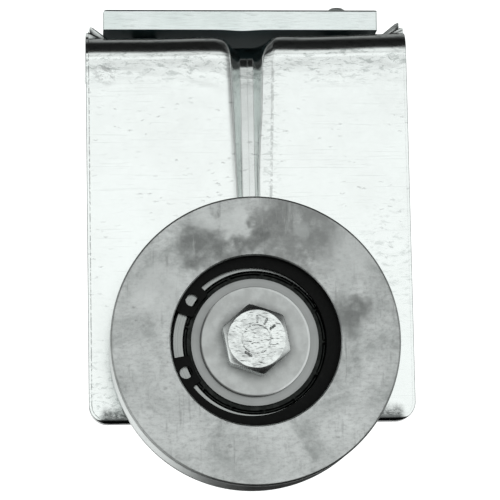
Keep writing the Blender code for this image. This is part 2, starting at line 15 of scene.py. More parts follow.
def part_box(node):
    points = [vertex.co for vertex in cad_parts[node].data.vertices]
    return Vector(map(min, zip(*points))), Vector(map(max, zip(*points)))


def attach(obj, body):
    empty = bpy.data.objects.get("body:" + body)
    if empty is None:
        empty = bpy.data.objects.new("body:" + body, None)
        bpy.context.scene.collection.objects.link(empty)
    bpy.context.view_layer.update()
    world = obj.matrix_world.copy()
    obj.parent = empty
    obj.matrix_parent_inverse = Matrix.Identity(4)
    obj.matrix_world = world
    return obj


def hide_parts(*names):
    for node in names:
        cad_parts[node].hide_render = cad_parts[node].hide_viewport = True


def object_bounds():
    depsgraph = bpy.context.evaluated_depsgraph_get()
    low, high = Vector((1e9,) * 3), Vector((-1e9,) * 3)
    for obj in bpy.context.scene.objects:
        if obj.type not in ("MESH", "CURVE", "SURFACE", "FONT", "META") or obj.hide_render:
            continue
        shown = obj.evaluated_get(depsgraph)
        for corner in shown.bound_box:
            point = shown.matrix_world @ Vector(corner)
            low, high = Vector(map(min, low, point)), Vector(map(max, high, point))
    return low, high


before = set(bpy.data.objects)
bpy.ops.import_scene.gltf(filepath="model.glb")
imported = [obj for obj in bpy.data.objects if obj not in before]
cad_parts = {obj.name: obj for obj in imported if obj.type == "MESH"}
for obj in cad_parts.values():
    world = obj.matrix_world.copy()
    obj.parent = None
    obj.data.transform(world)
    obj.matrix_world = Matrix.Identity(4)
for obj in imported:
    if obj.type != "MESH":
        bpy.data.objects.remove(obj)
cad_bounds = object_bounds()

MM = 0.001

# Places read from the frame
bracket_low, bracket_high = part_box("bracket")
wheel_low, wheel_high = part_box("wheel_rim")
clamp_low, clamp_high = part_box("clamp_plate")
PLATE_FRONT = bracket_low.y
PLATE_BOTTOM = bracket_low.z
FLANGE_BACK = bracket_high.y
AXLE = Vector(((wheel_low.x + wheel_high.x) / 2, PLATE_FRONT, (wheel_low.z + wheel_high.z) / 2))
AXLE_FRAME = Matrix.Translation(AXLE) @ Matrix.Rotation(math.pi / 2, 4, "X")
WHEEL_RADIUS = (wheel_high.x - wheel_low.x) / 2
WHEEL_BACK = PLATE_FRONT - wheel_high.y
WHEEL_FRONT = PLATE_FRONT - wheel_low.y

# Bracket
SHEET = 4.0 * MM
HALF_WIDTH = 34.74 * MM
BEND_RADIUS = 4.5 * MM
INNER_BEND_RADIUS = 0.5 * MM
CORNER_RADIUS = 4.0 * MM
BACK_CORNER_RADIUS = 1.2 * MM
FLANGE_START = PLATE_FRONT + BEND_RADIUS
LIP_CREASE = 29.6 * MM
LIP_TOP = 32.8 * MM
LIP_FOOT = 34.74 * MM
LIP_RISE = 2.55 * MM
STEP_CREASE = 30.9 * MM
STEP_RISE = 1.9 * MM
STEP_EDGE = 0.4 * MM
BULGE = 0.95 * MM
SHEAR_LINE = 0.66 * MM
RIM_LAYERS = 5
GROOVE_DEPTH = 3.5 * MM
GROOVE_FLOOR = 1.32 * MM
GROOVE_FLOOR_RIGHT = 1.62 * MM
GROOVE_NARROW = 0.6 * MM
GROOVE_TOP = 3.5 * MM
GROOVE_SHOULDER = 5.9 * MM
SHOULDER_SHARE = 0.14
GROOVE_END = -57.5 * MM
GROOVE_MIDDLE = -39.5 * MM
GROOVE_MIDDLE_TOP = 2.3 * MM
GROOVE_MIDDLE_DEPTH = 1.8 * MM
GROOVE_BACK = -4.5 * MM
GROOVE_BEND_RADIUS = 3.6 * MM
SLOT_HALF_WIDTH = 3.5 * MM
SLOT_LENGTH = 11.0 * MM
CLAMP_BOLT_PITCH = 43.0 * MM
AXLE_HOLE = 4.5 * MM

# Wheel and bearing, along the axle from the plate's front
RAIL_GROOVE_DEPTH = 5.4 * MM
RAIL_GROOVE_HALF_WIDTH = 6.0 * MM
BEARING_OUTER = 17.5 * MM
BEARING_BACK = 4.4 * MM
BEARING_FRONT = 15.4 * MM
BEARING_MIDDLE = (BEARING_BACK + BEARING_FRONT) / 2
BEARING_BORE = 7.5 * MM
OUTER_SHOULDER = 14.4 * MM
INNER_SHOULDER = 10.8 * MM
PITCH_RADIUS = 12.5 * MM
BALL_RADIUS = 2.976 * MM
BALL_COUNT = 8
CRIMPS = 13
CIRCLIP_BACK = 15.5 * MM
CIRCLIP_FRONT = 17.0 * MM
CIRCLIP_OUTER = 18.5 * MM
LUG_HOLE_PITCH = 15.7 * MM
LUG_HOLE_RADIUS = 1.3 * MM
LUG_HOLE_ANGLE = math.radians(28.8)
GAP_ANGLE = math.radians(174.6)

# The axle bolt and what it clamps
COLLAR_RADIUS = 13.3 * MM
COLLAR_FRONT = 16.1 * MM
BUSH_RADIUS = 7.3 * MM
BUSH_BORE = 4.2 * MM
BUSH_LENGTH = 4.8 * MM
WASHER_RADIUS = 11.45 * MM
HEAD_SEAT = 17.2 * MM
HEAD_TOP = 22.3 * MM
HEAD_FLATS = 13.0 * MM
HEAD_CROWN = 6.0 * MM
HEAD_TURN = math.radians(11.0)
CHAMFER_SLOPE = math.tan(math.radians(28))
AXLE_RADIUS = 4.0 * MM
NUT_FRONT = -5.7 * MM
NUT_BACK = -13.9 * MM

# Clamp bar
BAR_LENGTH, BAR_DEPTH, BAR_THICKNESS = 60.0 * MM, 25.0 * MM, 4.5 * MM
BAR_TILT = math.radians(0.3)
# How far a sawn end's rings lie from the end, and how much each is rounded off
BAR_ENDS = [
    (0.0, 0.85 * MM), (0.08 * MM, 0.5 * MM), (0.25 * MM, 0.24 * MM), (0.5 * MM, 0.08 * MM), (0.85 * MM, 0.0),
]


# Meshes


def smoothed(mesh, sharp=35):
    """Shades a mesh smooth, with edges sharper than an angle kept crisp."""
    mesh.shade_smooth()
    mesh.set_sharp_from_angle(angle=math.radians(sharp))


def linked(name, data, place=None):
    """An object of the scene that holds some data."""
    thing = bpy.data.objects.new(name, data)
    bpy.context.scene.collection.objects.link(thing)
    if place is not None:
        thing.matrix_world = place
    return thing


def evaluated(thing):
    """A mesh of an object as its modifiers or its curve's settings shape it."""
    bpy.context.view_layer.update()
    return bpy.data.meshes.new_from_object(thing.evaluated_get(bpy.context.evaluated_depsgraph_get()))


def made(name, vertices, faces, sharp=35, place=None):
    """A smooth-shaded object from vertices and faces."""
    mesh = bpy.data.meshes.new(name)
    mesh.from_pydata([tuple(v) for v in vertices], [], faces)
    mesh.validate()
    smoothed(mesh, sharp)
    return linked(name, mesh, place)


def settled_normals(piece):
    """Keeps flat faces flat in the shading where they meet small fillets."""
    piece.modifiers.new("weighing", "WEIGHTED_NORMAL").keep_sharp = True
    mesh = evaluated(piece)
    piece.modifiers.clear()
    piece.data = mesh


def outward(piece):
    """Turns a closed mesh's faces outwards."""
    volume = sum(polygon.center.dot(polygon.normal) * polygon.area for polygon in piece.data.polygons)
    if volume < 0:
        piece.data.flip_normals()
    return piece


def rounded(corners, steps=5):
    """A closed outline through (x, y, fillet radius) corners."""
    outline = []
    for index, (x, y, radius) in enumerate(corners):
        here = Vector((x, y))
        to_last = Vector(corners[index - 1][:2]) - here
        to_next = Vector(corners[(index + 1) % len(corners)][:2]) - here
        half = to_last.angle(to_next) / 2
        if radius <= 0 or half > math.radians(89):
            outline.append((x, y))
            continue
        reach = min(radius / math.tan(half), 0.49 * to_last.length, 0.49 * to_next.length)
        radius = reach * math.tan(half)
        inward = (to_last.normalized() + to_next.normalized()).normalized()
        centre = here + inward * radius / math.sin(half)
        start = here + to_last.normalized() * reach - centre
        end = here + to_next.normalized() * reach - centre
        sweep = start.angle_signed(end)
        for step in range(steps + 1):
            turn = -sweep * step / steps
            cosine, sine = math.cos(turn), math.sin(turn)
            spoke = Vector((start.x * cosine - start.y * sine, start.x * sine + start.y * cosine))
            outline.append(tuple(centre + spoke))
    return outline


def bands(count, around, closed=False):
    """The quads between rings of points that follow each other."""
    faces = []
    for level in range(count if closed else count - 1):
        low, high = level * around, (level + 1) % count * around
        for step in range(around):
            after = (step + 1) % around
            faces.append((low + step, low + after, high + after, high + step))
    return faces


def value_at(value, angles):
    return value(angles) if callable(value) else np.full(len(angles), value)


def skin(name, rings, segments, hollow, sharp=35, place=AXLE_FRAME):
    """A body wrapped round +Z from (radius, height) rings, each a number or a function of the angles."""
    angles = np.linspace(0, math.tau, segments, endpoint=False)
    rows = []
    for radius, height in rings:
        reach = value_at(radius, angles)
        rows.append(np.stack([reach * np.cos(angles), reach * np.sin(angles), value_at(height, angles)], 1))
    count = len(rings)
    faces = bands(count, segments, hollow)
    if not hollow:
        faces.append(tuple(range(segments - 1, -1, -1)))
        faces.append(tuple(range((count - 1) * segments, count * segments)))
    return outward(made(name, np.concatenate(rows), faces, sharp, place))


def turned(name, corners, segments=160, sharp=35, place=AXLE_FRAME):
    """A turned ring from its section's (radius, height, fillet) corners."""
    return skin(name, rounded(corners, 4), segments, True, sharp, place)


def ring(name, inner, outer, low, high, fillet, segments=128, place=AXLE_FRAME):
    corners = [(inner, low, fillet), (outer, low, fillet), (outer, high, fillet), (inner, high, fillet)]
    return turned(name, corners, segments, 35, place)


def hexagon(flats, turn, soft=0.25 * MM):
    """A hexagon's radius at an angle, with its corners slightly rounded."""

    def radius(angles):
        sixth = math.tau / 6
        from_flat = (angles - turn + sixth / 2) % sixth - sixth / 2
        sharp_radius = flats / 2 / np.cos(from_flat)
        limit = flats / 2 / math.cos(sixth / 2) - soft
        return np.where(sharp_radius > limit, limit + (sharp_radius - limit) * 0.45, sharp_radius)

    return radius


def noise_at(points, scale, seed=0.0):
    """Smooth noise from -1 to 1 at an array of points."""
    return np.array([noise.noise(Vector(p) * scale + Vector((seed, seed, seed))) for p in points])


def unit(value):
    """A value held between 0 and 1."""
    return np.clip(value, 0, 1)


def bell(value, middle, width):
    """1 at the middle, fading to 0 on both sides."""
    return np.exp(-(((value - middle) / width) ** 2))


def thread_radius(z, radius, pitch, depth):
    """A screw thread's radius at a height, as a function of the angle."""

    def at_angle(angles):
        wave = np.abs(2 * ((z / pitch + angles / math.tau) % 1.0) - 1)
        return radius - depth * unit(1.25 * wave - 0.125)

    return at_angle


def threaded_rings(radius, pitch, low, high, steps=10):
    """A shank's threaded rings from low to high."""
    count = int(round((high - low) / pitch * steps))
    heights = [low + (high - low) * step / count for step in range(count + 1)]
    return [(thread_radius(z, radius, pitch, 0.61 * pitch), z) for z in heights]


def extruded(name, outline, holes, low, high, bevel, place):
    """A plate from a flat outline and holes, with softly bevelled edges."""
    curve = bpy.data.curves.new(name, "CURVE")
    curve.dimensions = "2D"
    curve.fill_mode = "BOTH"
    curve.extrude = (high - low) / 2 - bevel
    curve.bevel_depth = bevel
    curve.bevel_resolution = 2
    curve.offset = -bevel
    for points in [outline, *holes]:
        spline = curve.splines.new("POLY")
        spline.points.add(len(points) - 1)
        for point, (x, y) in zip(spline.points, points):
            point.co = (x, y, 0, 1)
        spline.use_cyclic_u = True
    drawn = linked(name + "_outline", curve)
    mesh = evaluated(drawn)
    bpy.data.objects.remove(drawn)
    mesh.name = name
    mesh.transform(Matrix.Translation((0, 0, (low + high) / 2)))
    weld(mesh)
    smoothed(mesh)
    return outward(linked(name, mesh, place))


def weld(mesh, distance=1e-7):
    """Joins a mesh's vertices that lie in the same place."""
    shape = bmesh.new()
    shape.from_mesh(mesh)
    bmesh.ops.remove_doubles(shape, verts=shape.verts, dist=distance)
    shape.to_mesh(mesh)
    shape.free()


def polar(radius, angle):
    return radius * math.cos(angle), radius * math.sin(angle)


def arc(centre, radius, start, end, steps):
    spokes = [polar(radius, start + (end - start) * step / steps) for step in range(steps + 1)]
    return [(centre[0] + x, centre[1] + y) for x, y in spokes]


def drilled(piece, *cutters):
    """Cuts each cutter out of a piece and applies the result."""
    for tool in cutters:
        cutting = piece.modifiers.new(tool.name, "BOOLEAN")
        cutting.operation = "DIFFERENCE"
        cutting.solver = "EXACT"
        cutting.object = tool
    mesh = evaluated(piece)
    piece.modifiers.clear()
    piece.data = mesh
    smoothed(mesh)
    for tool in cutters:
        bpy.data.objects.remove(tool)
    return piece


# Materials


class Value:
    """A node's output, which sums and products turn into further nodes."""

    def __init__(self, nodes, socket):
        self.nodes, self.socket = nodes, socket

    def __add__(self, other):
        return self.nodes.maths("ADD", self, other)

    def __sub__(self, other):
        return self.nodes.maths("SUBTRACT", self, other)

    def __rsub__(self, other):
        return self.nodes.maths("SUBTRACT", other, self)

    def __mul__(self, other):
        return self.nodes.maths("MULTIPLY", self, other)

    def __truediv__(self, other):
        return self.nodes.maths("DIVIDE", self, other)

    def __abs__(self):
        return self.nodes.maths("ABSOLUTE", self)

    def most(self, other):
        """The greater of two values."""
        return self.nodes.maths("MAXIMUM", self, other)

    def fade(self, low, high, out_low=0.0, out_high=1.0):
        """A smooth step between two values, of which the first may be the greater."""
        limits = {"From Min": low, "From Max": high, "To Min": out_low, "To Max": out_high}
        return self.nodes.node("MapRange", {"Value": self, **limits}, interpolation_type="SMOOTHSTEP")

    def fade_mm(self, low, high, out_low=0.0, out_high=1.0):
        return self.fade(low * MM, high * MM, out_low, out_high)


class Nodes:
    """A node tree, with short calls for the nodes used here."""

    def __init__(self, tree):
        self.tree = tree

    def join(self, value, socket):
        """Links a value to a socket, or sets the socket to a constant."""
        if isinstance(value, Value):
            self.tree.links.new(value.socket, socket)
        else:
            socket.default_value = value

    def node(self, kind, inputs=None, output=0, **settings):
        added = self.tree.nodes.new("ShaderNode" + kind)
        for key, value in settings.items():
            setattr(added, key, value)
        for key, value in (inputs or {}).items():
            self.join(value, added.inputs[key])
        return Value(self, added.outputs[output])

    def maths(self, operation, first, second=0.0, clamp=False):
        return self.node("Math", {0: first, 1: second}, operation=operation, use_clamp=clamp)

    def vector(self, operation, inputs, output=0):
        return self.node("VectorMath", inputs, output, operation=operation)

    def axes(self, source):
        split = self.node("SeparateXYZ", {0: source}).socket.node
        return [Value(self, output) for output in split.outputs]


class Shader(Nodes):
    """A material whose textures follow the piece's own coordinates."""

    def __init__(self, name, metallic=1.0):
        self.material = bpy.data.materials.new(name)
        self.material.use_nodes = True
        super().__init__(self.material.node_tree)
        self.inputs = self.tree.nodes["Principled BSDF"].inputs
        self.inputs["Metallic"].default_value = metallic
        self.coordinates = self.node("TexCoord", output="Object")
        self.normals = self.node("TexCoord", output="Normal")
        self.x, self.y, self.z = self.axes(self.coordinates)

    def stretched(self, scale, turn=(0, 0, 0), shift=(0, 0, 0), source=None):
        places = {"Vector": source or self.coordinates, "Scale": scale, "Rotation": turn, "Location": shift}
        return self.node("Mapping", places)

    def noise(self, scale, detail=3.0, roughness=0.55, source=None, distortion=0.0, output=0):
        grain = {"Scale": scale, "Detail": detail, "Roughness": roughness, "Distortion": distortion}
        return self.node("TexNoise", {"Vector": source or self.coordinates, **grain}, output)

    def cells(self, scale, source=None):
        return self.node("TexVoronoi", {"Vector": source or self.coordinates, "Scale": scale})

    def mix(self, share, *shades):
        """A colour between two, which are values or (red, green, blue)."""
        first, second = ((*shade, 1) if isinstance(shade, tuple) else shade for shade in shades)
        return self.node("Mix", {0: share, 6: first, 7: second}, 2, data_type="RGBA")

    def layers(self, colour, *rows):
        """Lays (mask, share, shade) rows over a colour, in their order."""
        for mask, share, shade in rows:
            colour = self.mix(mask * share, colour, shade)
        return colour

    def radial(self):
        """The distance from the piece's own Z axis."""
        return self.maths("SQRT", self.x * self.x + self.y * self.y)

    def near(self, place, reach, source=None, core=0.15):
        """1 at a place, falling to 0 at a distance from it."""
        away = self.vector("DISTANCE", {0: source or self.coordinates, 1: place}, 1)
        return away.fade(core * reach, reach, 1.0, 0.0)

    def warped(self, amount, scale):
        """Coordinates pushed about by noise, for marks with uneven outlines."""
        push = self.noise(scale, 3.0, 0.6, output="Color")
        centred = self.vector("SUBTRACT", {0: push, 1: (0.5, 0.5, 0.5)})
        flat = self.vector("MULTIPLY", {0: centred, 1: (amount, amount, amount)})
        return self.vector("ADD", {0: self.coordinates, 1: flat})

    def finish(self, colour, roughness, height=None, depth=0.02 * MM):
        self.join(colour, self.inputs["Base Color"])
        self.join(roughness, self.inputs["Roughness"])
        if height is not None:
            bump = self.node("Bump", {"Height": height, "Distance": depth, "Strength": 1.0})
            self.join(bump, self.inputs["Normal"])
        return self.material


def sheet_scratches(s, bent):
    """Fine level scratches and a few long ones."""
    fine = s.noise(1.0, 4, 0.62, s.stretched((420, 900, 3600), (0, 0.05, 0), source=bent))
    long_marks = s.noise(1.0, 2, 0.5, s.stretched((90, 300, 3400), (0, -0.12, 0), (3, 1, 2)))
    return fine, fine.fade(0.6, 0.72), long_marks.fade(0.63, 0.7)


def sheet_wear(s, bent):
    """Wavy handling marks: by the bend, low on the left, half-way down on the right and by the groove."""
    wavy = s.noise(1.0, 5, 0.68, s.stretched((400, 500, 1300), source=bent), 0.3).fade(0.5, 0.66)
    low_left = s.z.fade_mm(-62, -81) * s.x.fade_mm(-25, -28)
    mid_right = s.x.fade_mm(21, 27, 0.0, 0.6) * s.near((0.03, -0.0185, -0.0505), 0.02)
    by_groove = s.x.fade_mm(2.8, 3.4, 0.0, 0.6) * s.x.fade_mm(7.5, 5.9)
    return wavy * s.z.fade_mm(-13, -7).most(low_left.most(mid_right.most(by_groove)))


def sheet_lines(s):
    """A faint broken dark line along the groove's right shoulder, and painted shade down its left wall where
    the sheet curves into the groove.
    """
    ridge_x = (s.z - GROOVE_BACK) * 0.035 + (GROOVE_SHOULDER - 0.1 * MM)
    ridge = abs(s.x - ridge_x).fade_mm(0.42, 0.16) * s.noise(1000, 3, 0.7).fade(0.36, 0.56)
    left_x = (s.z + 5.3 * MM) * -0.0392 - 3.56 * MM
    # painted shade where the sheet curves down into the groove's left wall
    left = abs(s.x - left_x).fade_mm(0.36, 0.08)
    return ridge * s.z.fade_mm(-6.0, -8.5), left * s.z.fade_mm(-4.0, -9.0)


def sheet_pits(s):
    """Short faint dashes in patches, and one smudge near the top left corner."""
    uneven = s.stretched((0.6, 1, 1.7), source=s.warped(0.0011, 1200))
    dashes = s.cells(520, uneven).fade(0.06, 0.25, 1.0, 0.0)
    zone = s.noise(140, 2, 0.5, s.stretched((1, 1, 1), shift=(0.7, 0.2, 0.4))).fade(0.46, 0.62)
    slanted = s.stretched((380, 500, 800), source=s.stretched((1, 1, 1), (0, -0.6, 0)))
    smudge = s.near((-0.0305, -0.0185, -0.0084), 0.0036) * s.noise(1.0, 5, 0.7, slanted).fade(0.44, 0.6)
    return dashes * zone, smudge


def sheet_lip_shade(s):
    """Painted shade on the top edges of the side lips and of the steps in front of them."""
    far = abs(s.x)
    lip_line = (far - LIP_CREASE) * (LIP_RISE / (LIP_TOP - LIP_CREASE))
    step_line = (far - STEP_CREASE) * (STEP_RISE / (HALF_WIDTH - STEP_CREASE))
    edges = (lip_line - s.z).fade_mm(0.34, 0.2).most(abs(step_line - s.z - 0.05 * MM).fade_mm(0.24, 0.1))
    return edges * s.z.fade_mm(0.1, 0.3) * far.fade(LIP_CREASE, LIP_CREASE + 0.4 * MM)


def sheet_outline(s):
    """A dark line along the plate's arris, and the broken line that the shear leaves just inside its sides.
    """
    sideways = (abs(s.x) - (HALF_WIDTH - CORNER_RADIUS)).most(0.0)
    downwards = (PLATE_BOTTOM + CORNER_RADIUS - s.z).most(0.0)
    from_corner = s.vector("LENGTH", {0: s.node("CombineXYZ", {0: sideways, 1: downwards})}, 1)
    away = CORNER_RADIUS - from_corner + (s.noise(850, 4, 0.7) - 0.5) * (0.2 * MM)
    shear = away.fade_mm(0.5, 0.58) * away.fade_mm(0.78, 0.68) * s.noise(1300, 3, 0.7).fade(0.38, 0.55)
    shear = shear * abs(s.x).fade_mm(31.2, 32.0) * s.x.fade_mm(5.0, -5.0, 0.15, 1.0)
    return away.fade_mm(0.16, 0.04), shear


def sheet_bottom(s):
    """Painted shade in a band above the plate's sheared bottom, mottled like a torn face, and its darkest
    line.
    """
    above = s.z + s.noise(700, 5, 0.7) * (1.6 * MM) - PLATE_BOTTOM
    between = abs(s.x).fade_mm(32.8, 31.2)
    rough = s.noise(1.0, 5, 0.75, s.stretched((1100, 700, 1600))).fade(0.62, 0.42, 0.5, 1.0)
    # painted shade, mottled like the torn shear face, fading upwards from the bottom
    shaded_torn_band = above.fade_mm(5.0, 2.2) * between * rough.most(above.fade_mm(3.2, 1.6, 0.0, 0.95))
    return shaded_torn_band, above.fade_mm(1.2, 0.9) * between


def zinc_sheet():
    """Bright zinc on cold-rolled sheet: long faint scratches, pits, smudges, dull sheared edges, and painted
    shade on the lips' edges, down the groove's left wall and above the bottom.
    """
    s = Shader("zinc_sheet")
    fine = s.noise(900, 5, 0.7)
    bent = s.warped(0.0035, 160)
    scratches, scratched, long_marked = sheet_scratches(s, bent)
    ridge, left_wall_shade = sheet_lines(s)
    pits, smudge = sheet_pits(s)
    head_shadow_and_dark_arris, shear = sheet_outline(s)
    shaded_torn_band, bottom = sheet_bottom(s)
    light = s.mix(s.noise(55, 4, 0.6).fade(0.35, 0.7), (0.89, 0.93, 0.918), (0.85, 0.885, 0.872))
    colour = s.layers(
        light,
        (scratched, 0.16, (0.42, 0.45, 0.44)),
        (sheet_wear(s, bent), 0.66, (0.42, 0.46, 0.448)),
        (long_marked, 0.12, (0.35, 0.38, 0.37)),
        # painted shade on the top edges of the lips and their steps
        (sheet_lip_shade(s), 0.75, (0.14, 0.15, 0.148)),
        # a dark line along the plate's arris
        (head_shadow_and_dark_arris, 0.85, (0.16, 0.17, 0.168)),
        (shear, 0.8, (0.22, 0.235, 0.23)),
        (ridge, 0.5, (0.3, 0.32, 0.315)),
        # painted shade down the groove's left wall
        (left_wall_shade, 0.5, (0.3, 0.315, 0.31)),
        (pits, 0.32, (0.16, 0.17, 0.17)),
        (smudge, 0.6, (0.25, 0.26, 0.26)),
        # painted shade along the plate's bottom
        (shaded_torn_band, 0.93, (0.06, 0.066, 0.065)),
        (bottom, 0.9, (0.05, 0.055, 0.055)),
    )
    height = scratches * 0.22 + (fine * 0.1 + s.noise(260, 3) * 1.2)
    return s.finish(colour, fine * 0.1 + 0.13, height, 0.012 * MM)


def zinc_bar():
    """Satin zinc on the clamp bar, with painted shade on its underside: dark and hardly metallic."""
    s = Shader("zinc_bar")
    grain = s.noise(1.0, 5, 0.65, s.stretched((320, 900, 2000)))
    colour = s.mix(s.noise(90, 4, 0.6).fade(0.35, 0.65), (0.76, 0.83, 0.815), (0.84, 0.9, 0.89))
    colour = s.layers(colour, (grain.fade(0.55, 0.7), 0.2, (0.45, 0.48, 0.47)))
    # painted shade on the faces that look down
    underside_shade = s.axes(s.normals)[2].fade(-0.5, -0.8)
    s.join(underside_shade.fade(0.0, 1.0, 1.0, 0.09), s.inputs["Metallic"])
    s.inputs["Specular IOR Level"].default_value = 0.0
    return s.finish(s.mix(underside_shade, colour, (0.045, 0.075, 0.08)), grain * 0.1 + 0.15, grain, 0.012 * MM)


def zinc_part(name, tint=(0.8, 0.86, 0.84), dark=(0.6, 0.64, 0.63), roughness=0.25, tip=None):
    """Zinc on small turned and forged parts, with a near-black end above a screw's tip height."""
    s = Shader(name)
    cloud = s.noise(420, 4, 0.6)
    grain = s.noise(2400, 4, 0.7)
    pits = s.cells(1500).fade(0.05, 0.2, 1.0, 0.0) * cloud.fade(0.5, 0.6)
    colour = s.layers(s.mix(cloud.fade(0.4, 0.68), tint, dark), (pits, 0.6, (0.2, 0.21, 0.21)))
    # a near-black end above the tip height
    if tip is not None:
        colour = s.mix(s.z.fade(tip - 0.03 * MM, tip + 0.03 * MM), colour, (0.015, 0.016, 0.016))
    return s.finish(colour, grain * 0.15 + roughness, grain, 0.012 * MM)


# Patches on the wheel's face: x, y and reach in millimetres, the red of their grey, and their share
DARK_PATCHES = [
    (8.5, 21.5, 12.0, 0.27, 0.8), (4.5, 25.0, 5.5, 0.3, 0.6), (-11.5, 19.5, 6.2, 0.2, 0.85),
    (-5.0, 18.8, 4.5, 0.2, 0.85), (-0.5, 21.2, 3.2, 0.2, 0.8), (-0.4, 24.8, 2.0, 0.22, 0.7),
    (20.0, 5.5, 5.8, 0.22, 0.85), (-8.5, 26.2, 1.6, 0.25, 0.8),
]
LIGHT_PATCHES = [
    (-2.4, 26.2, 2.4, 0.86, 0.8), (-5.0, 24.2, 3.6, 0.8, 0.65), (-11.0, 24.8, 4.0, 0.82, 0.65),
    (-20.0, 10.0, 7.5, 0.82, 0.65), (9.5, 22.8, 2.6, 0.62, 0.5), (20.0, 18.0, 7.0, 0.78, 0.6),
]


def face_patches(s, patches, mottle, warped, green, blue):
    """Uneven patches as layers, whose grey has slightly more green and blue than red."""
    for x, y, reach, red, share in patches:
        patch = s.near((x * MM, y * MM, WHEEL_FRONT), reach * MM, warped, 0.5)
        yield patch * mottle.fade(0.25, 0.6, 0.4, 1.0), share, (red, red + green, red + blue)


def rim_light_and_shade(s):
    """Layers of the rim: a painted highlight on the groove's edges, painted shade deeper in the groove and
    on the front face's arris.
    """
    away = s.radial()
    behind = s.z.fade(WHEEL_FRONT - 0.8 * MM, WHEEL_FRONT - 1.2 * MM)
    # painted highlight on the groove's edges
    flank_highlight = away.fade(WHEEL_RADIUS - 1.6 * MM, WHEEL_RADIUS - 1.1 * MM) * behind
    # painted shade deeper in the groove
    groove_shade = away.fade(WHEEL_RADIUS - 1.6 * MM, WHEEL_RADIUS - 2.2 * MM) * behind
    # painted shade on the front face's arris
    edge = away.fade(WHEEL_RADIUS - 0.5 * MM, WHEEL_RADIUS - 0.25 * MM) * (1.0 - behind)
    return (
        (flank_highlight, 0.9, (0.93, 0.96, 0.95)),
        (groove_shade, 0.9, (0.04, 0.042, 0.041)),
        (edge, 0.55, (0.2, 0.21, 0.205)),
    )


def wheel_steel():
    """Plain steel, turned and then clouded by handling: light blooms, dark patches, short pulled marks, and
    painted light and shade on the rim.
    """
    s = Shader("wheel_steel")
    cloud = s.noise(85, 6, 0.66, distortion=0.8)
    mottle = s.noise(300, 5, 0.68)
    speckle = s.noise(1.0, 5, 0.75, s.stretched((700, 1300, 1000)))
    streaks = s.noise(1.0, 5, 0.65, s.stretched((800, 90, 300), (0, 0, -0.15)))
    pulled = s.noise(1.0, 4, 0.7, s.stretched((420, 60, 200), (0, 0, 0.35), (3, 2, 1)))
    spots = s.cells(330).fade(0.05, 0.24, 1.0, 0.0) * mottle.fade(0.5, 0.6)
    warped = s.warped(0.008, 170)
    colour = s.layers(
        s.mix(cloud.fade(0.3, 0.62), (0.43, 0.455, 0.446), (0.8, 0.83, 0.82)),
        (mottle.fade(0.4, 0.62), 0.6, (0.84, 0.87, 0.86)),
        *face_patches(s, DARK_PATCHES, mottle, warped, 0.01, 0.005),
        (spots, 0.5, (0.13, 0.14, 0.135)),
        (streaks.fade(0.56, 0.7), 0.35, (0.17, 0.18, 0.18)),
        (pulled.fade(0.6, 0.68), 0.4, (0.62, 0.65, 0.64)),
        (speckle.fade(0.4, 0.75), 0.5, (0.3, 0.31, 0.305)),
        *face_patches(s, LIGHT_PATCHES, mottle, warped, 0.03, 0.02),
        *rim_light_and_shade(s),
    )
    return s.finish(colour, mottle * 0.25 + 0.3, speckle + streaks * 0.6, 0.012 * MM)


def turned_steel(name, light, dark, roughness=0.28, marks=2600.0):
    """Turned steel, with fine rings about its axis."""
    s = Shader(name)
    along = {"W": s.radial() * marks, "Scale": 1.0, "Detail": 3.0}
    rings = s.node("TexNoise", along, noise_dimensions="1D")
    cloud = s.noise(240, 4, 0.6)
    colour = s.layers(s.mix(rings.fade(0.3, 0.7), light, dark), (cloud.fade(0.5, 0.7), 0.35, dark))
    return s.finish(colour, cloud * 0.12 + roughness, rings, 0.006 * MM)


def disc_zinc():
    """Satin zinc on the disc washer: painted shadow round the bolt's head, and a painted highlight on its
    rim, strongest on the right, with a painted shadow on the rim's low left.
    """
    s = Shader("zinc_disc")
    away = s.radial()
    cloud = s.noise(300, 4, 0.6)
    grain = s.noise(1.0, 4, 0.65, s.stretched((2600, 900, 900), (0, 0, 0.1)))
    # painted shadow round the bolt's head
    head_shadow_and_dark_arris = (away + cloud * (1.2 * MM)).fade_mm(9.7, 6.8)
    rim = away - WASHER_RADIUS
    # painted highlight on the rim, strongest on the right
    painted_rim_highlight = rim.fade_mm(-0.6, -0.3) * s.x.fade_mm(-1.0, 8.0, 0.12, 0.85)
    # painted shadow on the rim's low left
    painted_rim_shadow = rim.fade_mm(-0.5, -0.2) * (s.x + s.y * 0.7).fade_mm(-1.0, -8.0)
    colour = s.layers(
        s.mix(cloud.fade(0.35, 0.65), (0.58, 0.6, 0.59), (0.7, 0.725, 0.715)),
        (head_shadow_and_dark_arris, 0.75, (0.2, 0.207, 0.204)),
        (painted_rim_highlight, 1.0, (0.92, 0.95, 0.94)),
        (painted_rim_shadow, 0.85, (0.05, 0.053, 0.052)),
    )
    return s.finish(colour, grain * 0.15 + 0.34, grain, 0.008 * MM)


def black_oxide():
    """Phosphated spring steel: matt black with faint grey wear."""
    s = Shader("black_oxide", metallic=0.0)
    grain = s.noise(1400, 4, 0.7)
    colour = s.mix(s.noise(420, 5, 0.7).fade(0.55, 0.75), (0.0035, 0.0042, 0.0038), (0.009, 0.0098, 0.0093))
    s.inputs["Specular IOR Level"].default_value = 0.16
    return s.finish(colour, grain * 0.25 + 0.38, grain, 0.02 * MM)


def shield_steel():
    """The shield's dark, pressed sheet."""
    s = Shader("shield_steel")
    grain = s.noise(900, 4, 0.65)
    colour = s.mix(grain.fade(0.4, 0.7), (0.016, 0.018, 0.017), (0.035, 0.038, 0.036))
    return s.finish(colour, grain * 0.15 + 0.25, grain, 0.01 * MM)


